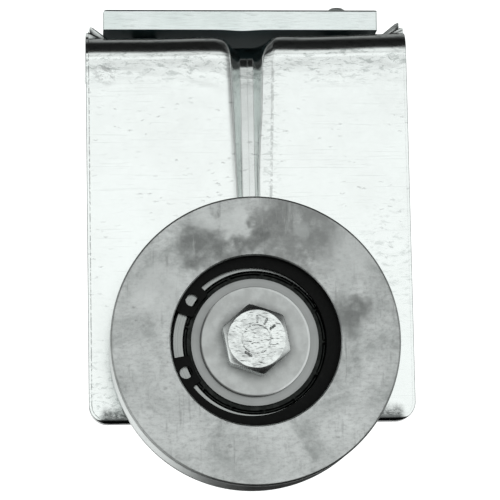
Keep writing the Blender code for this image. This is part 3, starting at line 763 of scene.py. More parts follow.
def nylon():
    s = Shader("nylon", metallic=0.0)
    grain = s.noise(1200, 3, 0.6)
    colour = s.mix(grain.fade(0.4, 0.7), (0.16, 0.32, 0.55), (0.22, 0.4, 0.62))
    return s.finish(colour, grain * 0.2 + 0.35, grain, 0.02 * MM)


def settle(piece, material, body, node, slot):
    """Gives a piece its material and body, and hides the CAD node that it stands for. The slot is not used.
    """
    settled_normals(piece)
    piece.data.materials.clear()
    piece.data.materials.append(material)
    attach(piece, body)
    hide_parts(node)


# Bracket


def sheet_rows():
    """Positions along the unfolded sheet, from the plate's bottom, as (kind, value) rows."""
    corner = [PLATE_BOTTOM + 2.4 * CORNER_RADIUS * (step / 34) ** 1.6 for step in range(35)]
    rows = [("plate", z) for z in corner]
    rows += [("plate", z) for z in np.linspace(corner[-1], -12 * MM, 58)[1:]]
    rows += [("plate", z) for z in np.linspace(-12 * MM, -BEND_RADIUS, 51)[1:]]
    rows += [("bend", math.pi / 2 * step / 26) for step in range(1, 27)]
    # close rows where the lips and their steps begin
    for run in (0.01, 0.035, 0.06, 0.14, 0.22, 0.3, 0.44, 0.57, 0.595, 0.62, 0.7, 0.78, 0.86, 1.05, 1.4):
        rows.append(("flange", FLANGE_START + run * MM))
    past_groove = GROOVE_BACK + 1.5 * MM
    rows += [("flange", y) for y in np.linspace(FLANGE_START + 1.4 * MM, past_groove, 34)[1:]]
    rows += [("flange", y) for y in np.linspace(past_groove, FLANGE_BACK - 1.5 * MM, 22)[1:]]
    rows += [("flange", FLANGE_BACK - 1.5 * MM * (1 - step / 6) ** 1.6) for step in range(1, 7)]
    return rows


def sheet_columns(edge):
    """Each column's x in a row that ends at an edge: close by the edges and over the groove."""
    crease = min(LIP_CREASE, edge - 1.0 * MM)
    outer = [crease + (edge - crease) * (1 - (1 - step / 34) ** 1.7) for step in range(35)]
    near = 7.5 * MM
    left, right = np.linspace(-LIP_CREASE, -near, 20)[:-1], np.linspace(near, LIP_CREASE, 20)[1:]
    middle = np.concatenate([left, np.linspace(-near, near, 111), right]) * crease / LIP_CREASE
    return np.array([-x for x in reversed(outer[1:])] + list(middle) + outer[1:])


def groove_size(row):
    """The groove's depth and half width at its top, in one row."""
    kind, value = row
    if kind == "bend":
        return GROOVE_DEPTH, GROOVE_TOP
    if kind == "flange":
        share = unit((GROOVE_BACK - value) / (GROOVE_BACK - FLANGE_START))
        return GROOVE_DEPTH * share, GROOVE_TOP * (0.55 + 0.45 * share)
    if value <= GROOVE_MIDDLE:
        share = max(0.0, (value - GROOVE_END) / (GROOVE_MIDDLE - GROOVE_END))
        return GROOVE_MIDDLE_DEPTH * share, GROOVE_MIDDLE_TOP
    share = (value - GROOVE_MIDDLE) / (-BEND_RADIUS - GROOVE_MIDDLE)
    depth = GROOVE_MIDDLE_DEPTH + (GROOVE_DEPTH - GROOVE_MIDDLE_DEPTH) * share
    return depth, GROOVE_MIDDLE_TOP + (GROOVE_TOP - GROOVE_MIDDLE_TOP) * share


def lean_at(height):
    """How far the plate leans back just below its bend, with the bend tool's fine ridge."""
    heights = np.linspace(-10.5 * MM, -BEND_RADIUS, 121)
    stops, tilts = (-10.5, -5.5, -5.35, -5.0, -4.85, -4.5), (0, 0.03, -0.02, -0.02, 0.055, 0.03)
    slopes = np.interp(heights / MM, stops, tilts)
    return np.interp(height, heights, np.cumsum(slopes) * (heights[1] - heights[0]))


def flat_share(pressed):
    """1 on the flat sheet, 0 in the pressed groove."""
    return unit(1 - 4 * pressed / GROOVE_DEPTH)


def near_bend(row):
    """1 in the bend and just behind it, falling to 0 a few millimetres down the plate."""
    kind, value = row
    if kind == "bend":
        return 0.1 + 0.9 * math.sin(value)
    if kind == "flange":
        return 1.0
    return 0.1 * max(0.0, 1 + (value + BEND_RADIUS) / (2 * MM))


def groove_profile(row, xs, inner):
    """How deep the groove is pressed at each x of a row."""
    kind, value = row
    depth, top = groove_size(row)
    bend = near_bend(row)
    if depth <= 0:
        return np.zeros(len(xs))
    floor, floor_right = GROOVE_FLOOR, GROOVE_FLOOR_RIGHT
    if inner:
        floor, floor_right = 0.7 * floor, 0.7 * floor_right
    right_top = top * (0.985 + 0.475 * bend)
    if kind == "plate":
        # the right wall steepens on the way down
        right_top -= (right_top - GROOVE_FLOOR_RIGHT - GROOVE_NARROW) * unit((-18 * MM - value) / (14 * MM))
    scale = top / GROOVE_TOP
    shoulder = GROOVE_SHOULDER * (0.225 + 0.775 * scale)
    reach = 12 * MM
    corners = [
        (-reach, 0, 0),
        (-top - (1.15 + 2.0 * bend) * MM, 0, (20.0 - 12.0 * bend) * MM),
        (-top + (0.04 - 1.04 * bend) * MM, 0.085 * depth, (0.3 + 3.6 * bend) * MM),
        (-floor, depth, 0.35 * MM),
        (floor_right, depth, 0.35 * MM),
        (right_top, (SHOULDER_SHARE + 0.12 * bend) * depth, (0.4 * scale + 4.0 * bend) * MM),
        (shoulder - (0.45 - 0.8 * bend) * MM, 0.03 * depth, (0.6 + 2 * bend) * MM),
        (shoulder + 1.6 * MM * bend, 0, (0.2 + 1.0 * bend) * MM),
        (reach, 0, 0),
        (reach, -1.0, 0),
        (-reach, -1.0, 0),
    ]
    points = np.array(rounded(corners, 8)[:-2])
    order = np.argsort(points[:, 0])
    pressed = np.interp(xs, points[order, 0], points[order, 1])
    if inner:
        return pressed
    # the press leaves a fine line along the floor
    return pressed + 0.05 * MM * bell(xs, 0.42 * MM, 0.11 * MM) * min(1.0, depth / MM)


def bulge_at(x):
    """How far the bend stands up on its right half, and on either side of the groove."""
    sides = 0.22 * bell(x, -9 * MM, 7 * MM) + 0.3 * bell(x, 7 * MM, 5 * MM)
    return BULGE * unit((x - 2 * MM) / (32 * MM)) + sides * MM


def edge_roll(away, down, x, z, inner):
    """How far a face is rolled back near the sheet's edge, at a distance from the outline."""
    if inner:
        reach, depth = 0.3 * MM, 0.2 * MM
    else:
        reach = 0.14 * MM + down * (0.95 * MM - 0.2 * MM * x / HALF_WIDTH)
        depth = 0.1 * MM + down * 0.55 * MM
    share = unit(1 - away / reach)
    roll = depth * (1 - np.sqrt(unit(1 - share**2)))
    if inner:
        return roll
    # the shear leaves a shallow broken step just inside the sides, faint on the right
    along_sides = np.stack([np.sign(x) * 0.01, np.zeros(len(x)), np.full(len(x), z)], 1)
    broken = 0.6 + 0.8 * noise_at(along_sides, 900)
    broken = np.where(x < 0, broken, 0.25 * broken)
    step = unit((SHEAR_LINE - away) / (0.13 * MM))
    return roll + (1 - down) * (0.055 * MM * broken * step + 0.02 * np.clip(SHEAR_LINE - away, 0, None))


def lip_rise(run, x):
    """How high the flange's side lips stand at each x, at a distance behind the bend."""
    far = np.abs(x)
    step = STEP_RISE * unit((far - STEP_CREASE) / (HALF_WIDTH - STEP_CREASE))
    full = np.clip((far - LIP_CREASE) / (LIP_TOP - LIP_CREASE), 0, None) * LIP_RISE

    def stepped(height, start):
        wall = unit((run - start) / (0.05 * MM))
        edge = unit((run - start - 0.05 * MM) / STEP_EDGE)
        return np.clip(height - STEP_EDGE * (1 - edge), 0, None) * wall

    return np.maximum(stepped(step, 0.01 * MM), stepped(full, 0.57 * MM))


def bend_shift(pressed, inner):
    """How far the bend's start moves down the plate, and its end back, where the sheet is pressed in."""
    if inner:
        return pressed
    return pressed + (GROOVE_BEND_RADIUS - BEND_RADIUS) * unit(pressed / GROOVE_DEPTH)


def corner_inset(over, radius):
    """How much a rounded corner takes off a row that lies this far into it."""
    share = max(0.0, over / radius)
    return radius * (1 - math.sqrt(max(0.0, 1 - share**2)))


def edge_at(row, inner):
    """How far from the middle the sheet ends in a row."""
    kind, value = row
    edge = HALF_WIDTH
    if kind == "plate":
        edge -= corner_inset(PLATE_BOTTOM + CORNER_RADIUS - value, CORNER_RADIUS)
    elif kind == "flange":
        lip = LIP_FOOT if inner else LIP_TOP
        edge += (lip - HALF_WIDTH) * min(1.0, (value - FLANGE_START) / (1.25 * MM))
        edge -= corner_inset(value - FLANGE_BACK + BACK_CORNER_RADIUS, BACK_CORNER_RADIUS)
    return edge


def from_outline(row, xs, edge):
    """Each point's distance from the sheet's outline, and how far that outline faces down."""
    kind, value = row
    side = edge - np.abs(xs)
    if kind == "bend":
        return side, np.zeros(len(xs))
    if kind == "flange":
        return np.maximum(0, np.minimum(side, FLANGE_BACK - value)), np.zeros(len(xs))
    side = HALF_WIDTH - np.abs(xs)
    height = value - PLATE_BOTTOM
    corner_x, corner_z = np.abs(xs) - (HALF_WIDTH - CORNER_RADIUS), CORNER_RADIUS - height
    in_corner = (corner_x > 0) & (corner_z > 0)
    to_corner = np.hypot(np.maximum(corner_x, 0), max(corner_z, 0))
    away = np.where(in_corner, CORNER_RADIUS - to_corner, np.minimum(side, height))
    facing = max(corner_z, 0) / np.maximum(to_corner, 1e-6)
    return np.maximum(away, 0), np.where(in_corner, unit((facing - 0.8) / 0.2), (height < side) * 1.0)


def bend_row(swing, xs, pressed, roll, inner):
    """A row's y and z in the bend, at an angle from the plate."""
    if inner:
        bend = reach = np.full(len(xs), INNER_BEND_RADIUS)
        base, lean, bulge = pressed + SHEET, 0.0, 0.0
    else:
        bend = BEND_RADIUS + bend_shift(pressed, False) - pressed
        reach = bend - roll
        lean = lean_at(-BEND_RADIUS) * (1 - math.sin(swing)) * flat_share(pressed)
        base, bulge = pressed, bulge_at(xs)
    y = PLATE_FRONT + base + bend + lean - reach * math.cos(swing)
    return y, -base - bend + reach * math.sin(swing) + bulge


def sheet_row(row, inner):
    """One row of points on a face of the sheet."""
    kind, value = row
    edge = edge_at(row, inner)
    xs = sheet_columns(edge)
    pressed = groove_profile(row, xs, inner)
    roll = edge_roll(*from_outline(row, xs, edge), xs, value, inner)
    depth = SHEET + pressed - roll if inner else pressed + roll
    shift = bend_shift(pressed, inner)
    bulge = 0.0 if inner else bulge_at(xs)
    if kind == "plate":
        above = value + BEND_RADIUS
        y = PLATE_FRONT + depth + (0 if inner else lean_at(value)) * flat_share(pressed)
        z = value - shift * unit(1 + above / (16 * MM)) + bulge * unit(1 + above / (9 * MM)) ** 2
    elif kind == "flange":
        run = value - FLANGE_START
        y = value + shift * unit(1 - run / (11 * MM))
        z = -depth + lip_rise(run, xs) * (0.9 if inner else 1.0) + bulge * unit(1 - run / (6 * MM)) ** 2
    else:
        y, z = bend_row(value, xs, pressed, roll, inner)
    return np.stack([xs, y, z], 1)


def sheet_face(inner):
    """One face of the sheet as rows of points, slightly wavy, most near the bend."""
    grid = np.array([sheet_row(row, inner) for row in sheet_rows()])
    flat = grid.reshape(-1, 3)
    by_bend = bell(flat[:, 2], -6 * MM, 11 * MM)
    wave = noise_at(flat * np.array([1, 1, 2.2]), 120, 3.1)
    ripple = noise_at(flat * np.array([1, 1, 2.5]), 330, 8.4)
    push = np.abs((0.012 * MM + 0.03 * MM * by_bend) * wave + 0.008 * MM * by_bend * ripple)
    ahead = flat[:, 1] < FLANGE_START + 1 * MM
    flat[:, 1] += np.where(ahead, -push if inner else push, 0)
    return flat.reshape(grid.shape)


def torn_line(first, last, layer):
    """One line of points round the sheet's edge, between its faces, with the shear's torn surface."""
    share = layer / RIM_LAYERS
    middle = (first[:, 0] + last[:, 0]) / 2
    line = first * (1 - share) + last * share
    tear = 0.5 + 0.5 * noise_at(line * np.array([1, 1.4, 1]), 900, 5.0 + layer)
    on_side = np.abs(middle) > 28 * MM
    line[:, 0] -= np.sign(middle) * on_side * (0.07 * MM * tear * math.sin(math.pi * share))
    return line


def make_sheet():
    """The bent sheet: two faces as grids, and lines round the edge between them."""
    outer, inner = sheet_face(False), sheet_face(True)
    rows, columns = outer.shape[:2]
    whole = rows * columns
    faces = []
    for row in range(rows - 1):
        for first in range(row * columns, row * columns + columns - 1):
            quad = (first, first + 1, first + columns + 1, first + columns)
            faces += [quad, tuple(whole + corner for corner in reversed(quad))]
    around = list(range(columns)) + [row * columns + columns - 1 for row in range(1, rows)]
    around += list(range(whole - 2, whole - columns - 1, -1))
    around += [row * columns for row in range(rows - 2, 0, -1)]
    count = len(around)
    points = [outer.reshape(-1, 3), inner.reshape(-1, 3)]
    first, last = points[0][around], points[1][around]
    rims = [around]
    for layer in range(1, RIM_LAYERS):
        points.append(torn_line(first, last, layer))
        rims.append([2 * whole + (layer - 1) * count + index for index in range(count)])
    rims.append([whole + corner for corner in around])
    for near_rim, far_rim in zip(rims, rims[1:]):
        for index in range(count):
            after = (index + 1) % count
            faces.append((near_rim[index], far_rim[index], far_rim[after], near_rim[after]))
    return outward(made("bracket_sheet", np.concatenate(points), faces, 40))


def make_bracket():
    low, high = -4 * SHEET, 4 * SHEET
    cutters = [skin("axle_hole", [(AXLE_HOLE, low), (AXLE_HOLE, high)], 64, False)]
    straight, quarter = SLOT_LENGTH / 2 - SLOT_HALF_WIDTH, math.pi / 2
    outline = arc((straight, 0), SLOT_HALF_WIDTH, -quarter, quarter, 20)
    outline += arc((-straight, 0), SLOT_HALF_WIDTH, quarter, 3 * quarter, 20)
    for sign in (-1, 1):
        place = Matrix.Translation((sign * CLAMP_BOLT_PITCH / 2, 0, 0))
        cutters.append(extruded(f"slot_{sign}", outline, [], low, high, 0.0, place))
    return drilled(make_sheet(), *cutters)


# Wheel body


def make_wheel():
    """The rim with its V groove for the rail, the bearing's seat and the circlip's groove."""
    middle = (WHEEL_BACK + WHEEL_FRONT) / 2
    root = WHEEL_RADIUS - RAIL_GROOVE_DEPTH
    root_half = RAIL_GROOVE_HALF_WIDTH - RAIL_GROOVE_DEPTH
    rim, chamfer = 0.3 * MM, 0.25 * MM
    bore, shoulder, clip_bore = 17.62 * MM, 15.2 * MM, 18.7 * MM
    clip_low, clip_high = CIRCLIP_BACK - 0.05 * MM, CIRCLIP_FRONT + 0.1 * MM
    seat = BEARING_BACK - 0.1 * MM
    corners = [
        (shoulder, WHEEL_BACK, 0.3 * MM),
        (WHEEL_RADIUS - rim, WHEEL_BACK, 0.15 * MM),
        (WHEEL_RADIUS, WHEEL_BACK + rim, 0.15 * MM),
        (WHEEL_RADIUS, middle - RAIL_GROOVE_HALF_WIDTH, 0.35 * MM),
        (root, middle - root_half, 0.5 * MM),
        (root, middle + root_half, 0.5 * MM),
        (WHEEL_RADIUS, middle + RAIL_GROOVE_HALF_WIDTH, 0.35 * MM),
        (WHEEL_RADIUS, WHEEL_FRONT - rim, 0.15 * MM),
        (WHEEL_RADIUS - rim, WHEEL_FRONT, 0.15 * MM),
        (bore + chamfer, WHEEL_FRONT, 0.1 * MM),
        (bore, WHEEL_FRONT - chamfer, 0.1 * MM),
        (bore, clip_high, 0),
        (clip_bore, clip_high, 0),
        (clip_bore, clip_low, 0),
        (bore, clip_low, 0),
        (bore, seat, 0.1 * MM),
        (shoulder, seat, 0.2 * MM),
    ]
    return turned("wheel", corners, 256)


def softened(points, radius):
    """A line of points as corners, of which the first and last are rounded."""
    corners = [(x, y, 0) for x, y in points]
    for end in (0, -1):
        corners[end] = (*corners[end][:2], radius)
    return corners


def circlip_outline():
    """An open ring, widest opposite its gap, with a lug at each end."""
    lug_end = LUG_HOLE_ANGLE - math.radians(12.5)
    lug_start = LUG_HOLE_ANGLE + math.radians(12.0)
    outer = arc((0, 0), CIRCLIP_OUTER, GAP_ANGLE + lug_end, GAP_ANGLE + math.tau - lug_end, 220)
    inner = []
    steps = 200
    for step in range(steps + 1):
        offset = lug_start + (math.tau - 2 * lug_start) * (1 - step / steps)
        inner.append(polar(15.42 * MM + 0.62 * MM * math.cos(offset), GAP_ANGLE + offset))

    def lug(first, last):
        return softened(arc((0, 0), 13.85 * MM, GAP_ANGLE + first, GAP_ANGLE + last, 10), 1.0 * MM)

    ring_and_lug = softened(outer, 0.5 * MM) + lug(-lug_end, -lug_start)
    return rounded(ring_and_lug + softened(inner, 0.6 * MM) + lug(lug_start, lug_end), 6)


def make_circlip():
    centres = [polar(LUG_HOLE_PITCH, GAP_ANGLE + sign * LUG_HOLE_ANGLE) for sign in (-1, 1)]
    holes = [arc(centre, LUG_HOLE_RADIUS, 0, math.tau, 40)[:-1] for centre in centres]
    outline = circlip_outline()
    return extruded("retaining_ring", outline, holes, CIRCLIP_BACK, CIRCLIP_FRONT, 0.12 * MM, AXLE_FRAME)


def raceway(sign, shoulder, steps=20):
    """A ball groove's section, from low to high: the sign is 1 in the outer ring and -1 in the inner one."""
    reach = BALL_RADIUS + 0.05 * MM
    half = math.acos(abs(shoulder - PITCH_RADIUS) / reach)
    spokes = [polar(reach, half * (2 * step / steps - 1)) for step in range(steps + 1)]
    return [(PITCH_RADIUS + sign * out, BEARING_MIDDLE + up, 0) for out, up in spokes]


def make_outer_ring():
    seat, depth, chamfer = 14.95 * MM, 1.1 * MM, 0.55 * MM
    corners = [
        (BEARING_OUTER - chamfer, BEARING_FRONT, 0.15 * MM),
        (seat, BEARING_FRONT, 0.1 * MM),
        (seat, BEARING_FRONT - depth, 0),
        (OUTER_SHOULDER, BEARING_FRONT - depth, 0),
        *reversed(raceway(1, OUTER_SHOULDER)),
        (OUTER_SHOULDER, BEARING_BACK + depth, 0),
        (seat, BEARING_BACK + depth, 0),
        (seat, BEARING_BACK, 0.1 * MM),
        (BEARING_OUTER - chamfer, BEARING_BACK, 0.15 * MM),
        (BEARING_OUTER, BEARING_BACK + chamfer, 0.2 * MM),
        (BEARING_OUTER, BEARING_FRONT - chamfer, 0.2 * MM),
    ]
    return turned("outer_ring", corners, 192)


def make_inner_ring():
    corners = [
        (INNER_SHOULDER, BEARING_BACK, 0.1 * MM),
        *raceway(-1, INNER_SHOULDER),
        (INNER_SHOULDER, BEARING_FRONT, 0.1 * MM),
        (BEARING_BORE, BEARING_FRONT, 0.3 * MM),
        (BEARING_BORE, BEARING_BACK, 0.3 * MM),
    ]
    return turned("inner_ring", corners, 160)


def make_shield(side, face, inwards):
    """A pressed shield: a flat dish, a step and a rolled bead nicked by its crimps."""

    def bead(radius, height, reach):
        def at_angle(angles):
            phase = (angles * CRIMPS / math.tau + 0.5) % 1.0 - 0.5
            return face + inwards * (0.12 * MM + height * MM + bell(phase, 0, 0.055) * reach * MM)

        return radius * MM, at_angle

    flat = face + inwards * 0.4 * MM
    back = flat + inwards * 0.35 * MM
    foot = face + inwards * 0.95 * MM
    bead_rows = [
        (14.1, 0.3, 0.05), (14.25, 0.12, 0.2), (14.4, 0.03, 0.28), (14.55, 0.0, 0.32),
        (14.7, 0.03, 0.28), (14.83, 0.14, 0.2), (14.9, 0.32, 0.1),
    ]
    rings = [
        (11.2 * MM, flat + inwards * 0.1 * MM),
        (11.35 * MM, flat),
        (12.2 * MM, flat),
        (13.7 * MM, flat),
        (13.9 * MM, flat + inwards * 0.02 * MM),
        *(bead(*row) for row in bead_rows),
        (14.9 * MM, foot),
        (14.1 * MM, foot),
        (13.9 * MM, back),
        (11.2 * MM, back),
    ]
    return skin(f"shield_{side}", rings, 520, True, 50)


# Cage body


def make_cage(side, facing):
    """One half of the pressed ribbon cage, waved round the balls and flat at its rivets."""
    spacing = math.tau / BALL_COUNT
    pocket, gap, sheet = BALL_RADIUS + 0.12 * MM, 0.06 * MM, 0.5 * MM
    segments = BALL_COUNT * 48
    angles = np.linspace(0, math.tau, segments, endpoint=False)
    along = PITCH_RADIUS * ((angles + spacing / 2) % spacing - spacing / 2)
    inner = np.maximum(gap, np.sqrt(np.maximum(0, pocket**2 - along**2)))
    crown = np.sqrt(np.maximum(0, (pocket + sheet) ** 2 - along**2))
    outer = np.maximum(inner + 0.05 * MM, np.maximum(gap + sheet, crown))
    edges = [(11.35 * MM, inner), (13.65 * MM, inner), (13.65 * MM, outer), (11.35 * MM, outer)]
    rings = [(radius, lambda _, rise=rise: BEARING_MIDDLE + facing * rise) for radius, rise in edges]
    return skin(f"cage_half_{side}", rings, segments, True, 50)


def on_pitch_circle(share):
    """The frame of a place on the balls' pitch circle, counted in balls."""
    spoke = polar(PITCH_RADIUS, math.tau / BALL_COUNT * share)
    return AXLE_FRAME @ Matrix.Translation((*spoke, BEARING_MIDDLE))


def make_ball(index):
    steps = 28
    rings = [polar(BALL_RADIUS, math.pi * (step / steps - 0.5)) for step in range(1, steps)]
    return skin(f"steel_ball_{index + 1}", rings, 56, False, 60, on_pitch_circle(index))


def make_rivet(index):
    low, top, shank = 0.56 * MM, 0.85 * MM, 0.45 * MM
    dome = [(0.93 * MM * math.cos(t), low + (top - low) * math.sin(t)) for t in np.linspace(0, 1.45, 8)]
    rings = [(r, -z) for r, z in reversed(dome)] + [(shank, -low), (shank, low)] + dome
    return skin(f"rivet_{index + 1}", rings, 32, False, 40, on_pitch_circle(index + 0.5))


# The axle bolt and its stack

# Dashes on the bolt's head: the place's angle, its radius and the length in millimetres, the dash's turn
HEAD_DASHES = [(62, 4.05, 1.5, 62), (36, 4.05, 1.5, 36), (88, 4.05, 1.5, 88), (240, 3.6, 1.7, 330)]


def head_relief(x, y):
    """The forged top of the bolt's head: a fine ring, dashes and a rough skin."""
    height = -0.05 * MM * bell(np.hypot(x, y), 2.95 * MM, 0.14 * MM)
    for place, radius, length, turn in HEAD_DASHES:
        cx, cy = polar(radius * MM, math.radians(place))
        ux, uy = polar(1, math.radians(turn))
        along = np.abs((x - cx) * ux + (y - cy) * uy)
        across = np.abs((x - cx) * -uy + (y - cy) * ux)
        inside = unit((length * MM / 2 - along) / (0.12 * MM)) * unit((0.22 * MM - across) / (0.2 * MM))
        height = height - 0.16 * MM * inside
    points = np.stack([x * 0.7, y * 1.5, np.zeros_like(x)], 1)
    return height + (noise_at(points, 2200, 2.0) * 0.035 * MM + noise_at(points, 900, 4.0) * 0.05 * MM)


def hex_head_rings(flats, crown, turn, low, top, relief=None):
    """Rings from a head's underside to its crowned top, for a head that faces +Z."""
    sides = hexagon(flats, turn)
    soft = 0.16 * MM

    def shrunk(shrink):
        return lambda angles: np.maximum(sides(angles) - shrink, 0.2 * MM)

    def beyond(shrink, angles):
        return np.maximum(sides(angles) - shrink, crown) - crown

    def cone(shrink, drop=0.0):
        return lambda angles: top - beyond(shrink, angles) * CHAMFER_SLOPE - drop

    rings = [
        (shrunk(0.25 * MM), low),
        (shrunk(0.05 * MM), low + 0.05 * MM),
        (sides, low + 0.2 * MM),
        (sides, cone(0, soft)),
        (shrunk(0.04 * MM), cone(0, 0.35 * soft)),
        (shrunk(soft), cone(soft)),
        # half-way up the chamfer
        (
            lambda angles: crown + beyond(soft, angles) * 0.5,
            lambda angles: top - beyond(soft, angles) * 0.5 * CHAMFER_SLOPE,
        ),
        (crown + 0.03 * MM, top - 0.03 * MM),
        (crown - 0.05 * MM, top),
    ]
    if relief is None:
        return rings + [(crown * 0.5, top), (0.2 * MM, top)]

    def relieved(radius):
        fade = min(1.0, (crown - radius) / (0.3 * MM))
        return lambda angles: top + fade * relief(radius * np.cos(angles), radius * np.sin(angles))

    radii = np.linspace(crown - 0.12 * MM, 0.12 * MM, 74)
    return rings + [(float(radius), relieved(radius)) for radius in radii]


def make_axle_bolt():
    end, thread_end = -15.5 * MM, -5.6 * MM
    shank = [
        (0.6 * MM, end),
        (AXLE_RADIUS - 0.95 * MM, end + 0.02 * MM),
        (AXLE_RADIUS - 0.8 * MM, end + 0.12 * MM),
        *threaded_rings(AXLE_RADIUS - 0.03 * MM, 1.25 * MM, end + 0.45 * MM, thread_end),
        (AXLE_RADIUS - 0.2 * MM, -5.3 * MM),
        (AXLE_RADIUS, -5.1 * MM),
        (AXLE_RADIUS, HEAD_SEAT),
    ]
    head = hex_head_rings(HEAD_FLATS, HEAD_CROWN, HEAD_TURN, HEAD_SEAT, HEAD_TOP, head_relief)
    return skin("hex_bolt", shank + head, 288, False, 40)


def make_nut():
    """The lock nut: a hexagon chamfered at both ends, and a round collar that holds the nylon ring."""
    sides = hexagon(HEAD_FLATS, HEAD_TURN)
    bore, crown, pocket, soft = 4.1 * MM, 6.15 * MM, 5.0 * MM, 0.15 * MM
    collar = NUT_BACK + 2.0 * MM

    def cone(edge, sign, shrink=0.0, drop=0.0):
        return lambda angles: (
            edge - sign * (np.maximum(sides(angles) - shrink, crown) - crown) * CHAMFER_SLOPE + drop
        )

    def shrunk(angles):
        return sides(angles) - soft

    dome = [
        (5.85 * MM - 0.55 * MM * (1 - math.cos(t)), collar - 0.25 * MM - 1.35 * MM * math.sin(t))
        for t in np.linspace(0, 1.5, 9)
    ]
    rings = [
        (bore, NUT_FRONT),
        (crown, NUT_FRONT),
        (shrunk, cone(NUT_FRONT, 1, soft)),
        (sides, cone(NUT_FRONT, 1, drop=-soft)),
        (sides, cone(collar, -1, drop=soft)),
        (shrunk, cone(collar, -1, soft)),
        (crown, collar),
        (5.95 * MM, collar - 0.05 * MM),
        *dome,
        (5.1 * MM, NUT_BACK + 0.12 * MM),
        (pocket, NUT_BACK + 0.25 * MM),
        (pocket, NUT_BACK + 1.9 * MM),
        (bore, NUT_BACK + 1.9 * MM),
    ]
    return skin("lock_nut", rings, 192, True, 40)


def make_insert():
    return ring("nylon_ring", 4.05 * MM, 4.98 * MM, NUT_BACK + 0.2 * MM, NUT_BACK + 1.85 * MM, 0.25 * MM, 96)


def make_collar():
    """The ring in front of the shield, with a bush that reaches into the bearing."""
    face, end = BEARING_FRONT + 0.1 * MM, BEARING_FRONT - BUSH_LENGTH
    corners = [
        (BUSH_BORE, COLLAR_FRONT, 0.1 * MM),
        (COLLAR_RADIUS, COLLAR_FRONT, 0.1 * MM),
        (COLLAR_RADIUS, face, 0.05 * MM),
        (BUSH_RADIUS, face, 0),
        (BUSH_RADIUS, end, 0.3 * MM),
        (BUSH_BORE, end, 0.1 * MM),
    ]
    return turned("collar", corners, 192)


def make_washer_front():
    """A disc with a thin turned-over rim; the rim's brightness is a painted highlight in the disc's
    material.
    """
    inner, back, front = 4.3 * MM, COLLAR_FRONT + 0.02 * MM, HEAD_SEAT - 0.02 * MM
    corners = [
        (inner, back, 0),
        (WASHER_RADIUS - 0.15 * MM, back, 0.1 * MM),
        (WASHER_RADIUS, COLLAR_FRONT + 0.35 * MM, 0.2 * MM),
        (WASHER_RADIUS, front, 0.1 * MM),
        (inner, front, 0.1 * MM),
    ]
    return turned("disc_washer", corners, 192)


def make_spacer():
    """The ring between the plate and the bearing, with a bush like the collar's."""
    radius, plate, face, end = 10.4 * MM, 0.05 * MM, BEARING_BACK - 0.1 * MM, BEARING_BACK + BUSH_LENGTH
    corners = [
        (BUSH_BORE, plate, 0.1 * MM),
        (radius, plate, 0.3 * MM),
        (radius, face, 0.3 * MM),
        (BUSH_RADIUS, face, 0),
        (BUSH_RADIUS, end, 0.3 * MM),
        (BUSH_BORE, end, 0.1 * MM),
    ]
    return turned("spacer", corners, 160)


# Clamp


def bar_sections():
    """The bar's sections from end to end: sawn ends, softly rounded top arrises."""
    half_x, half_y, thick = BAR_LENGTH / 2, BAR_DEPTH / 2, BAR_THICKNESS
    top, soft = 0.42 * MM, 0.05 * MM
    profile = rounded([(-half_y, 0, soft), (half_y, 0, soft), (half_y, thick, top), (-half_y, thick, top)])
    stations = [(-half_x + away, inset) for away, inset in BAR_ENDS]
    stations += [(x, 0.0) for x in np.linspace(-half_x + 2 * MM, half_x - 2 * MM, 90)]
    stations += [(half_x - away, inset) for away, inset in reversed(BAR_ENDS)]
    sections = []
    for x, inset in stations:
        for y, z in profile:
            limit = half_y - inset * 0.1
            if x < 0:
                z = min(z, thick - inset)
            elif z > thick / 2:
                z = min(z, thick - 0.3 * inset)
            sections.append((x, max(-limit, min(limit, y)), z))
    return np.array(sections), len(stations), len(profile)


def make_clamp_bar():
    """The clamp bar, slightly dented and bowed down in its middle, with two drilled and tapped holes."""
    centre_x, centre_y = (clamp_low.x + clamp_high.x) / 2, (clamp_low.y + clamp_high.y) / 2
    base_z = clamp_low.z + math.sin(BAR_TILT) * BAR_LENGTH / 2
    place = Matrix.Translation((centre_x - math.sin(BAR_TILT) * BAR_THICKNESS / 2, centre_y, base_z))
    place = place @ Matrix.Rotation(BAR_TILT, 4, "Y")
    flat, count, around = bar_sections()
    half_y = BAR_DEPTH / 2
    front = np.abs(np.abs(flat[:, 1]) - half_y) < 0.2 * MM
    dent = np.abs(noise_at(flat * np.array([1, 1, 2]), 260, 1.5))
    flat[:, 1] -= np.sign(flat[:, 1]) * front * dent * 0.03 * MM
    edge = (flat[:, 1] < -half_y + 0.3 * MM) & (flat[:, 2] < 0.2 * MM)
    flat[:, 2] -= edge * 0.26 * MM * bell(flat[:, 0], 0.3 * MM, 3.2 * MM)
    faces = bands(count, around)
    faces.append(tuple(range(around)))
    faces.append(tuple(range(count * around - 1, (count - 1) * around - 1, -1)))
    piece = outward(made("clamp_bar", flat, faces, 35, place))
    top, hole, lip = BAR_THICKNESS + base_z, 3.1 * MM, 3.35 * MM
    rings = [
        (hole, -2 * MM),
        (hole, top - 0.35 * MM),
        (lip, top - 0.05 * MM),
        (lip + 0.6 * MM, top + 0.6 * MM),
        (lip + 0.6 * MM, top + 3 * MM),
    ]
    tools = []
    for sign in (-1, 1):
        above = Matrix.Translation((sign * CLAMP_BOLT_PITCH / 2, 0, 0))
        tools.append(skin(f"tapped_{sign}", rings, 48, False, 35, above))
    return drilled(piece, *tools)


def upright_at(low, high):
    """The frame of a vertical axis through the middle of a box."""
    return Matrix.Translation(((low.x + high.x) / 2, (low.y + high.y) / 2, 0))


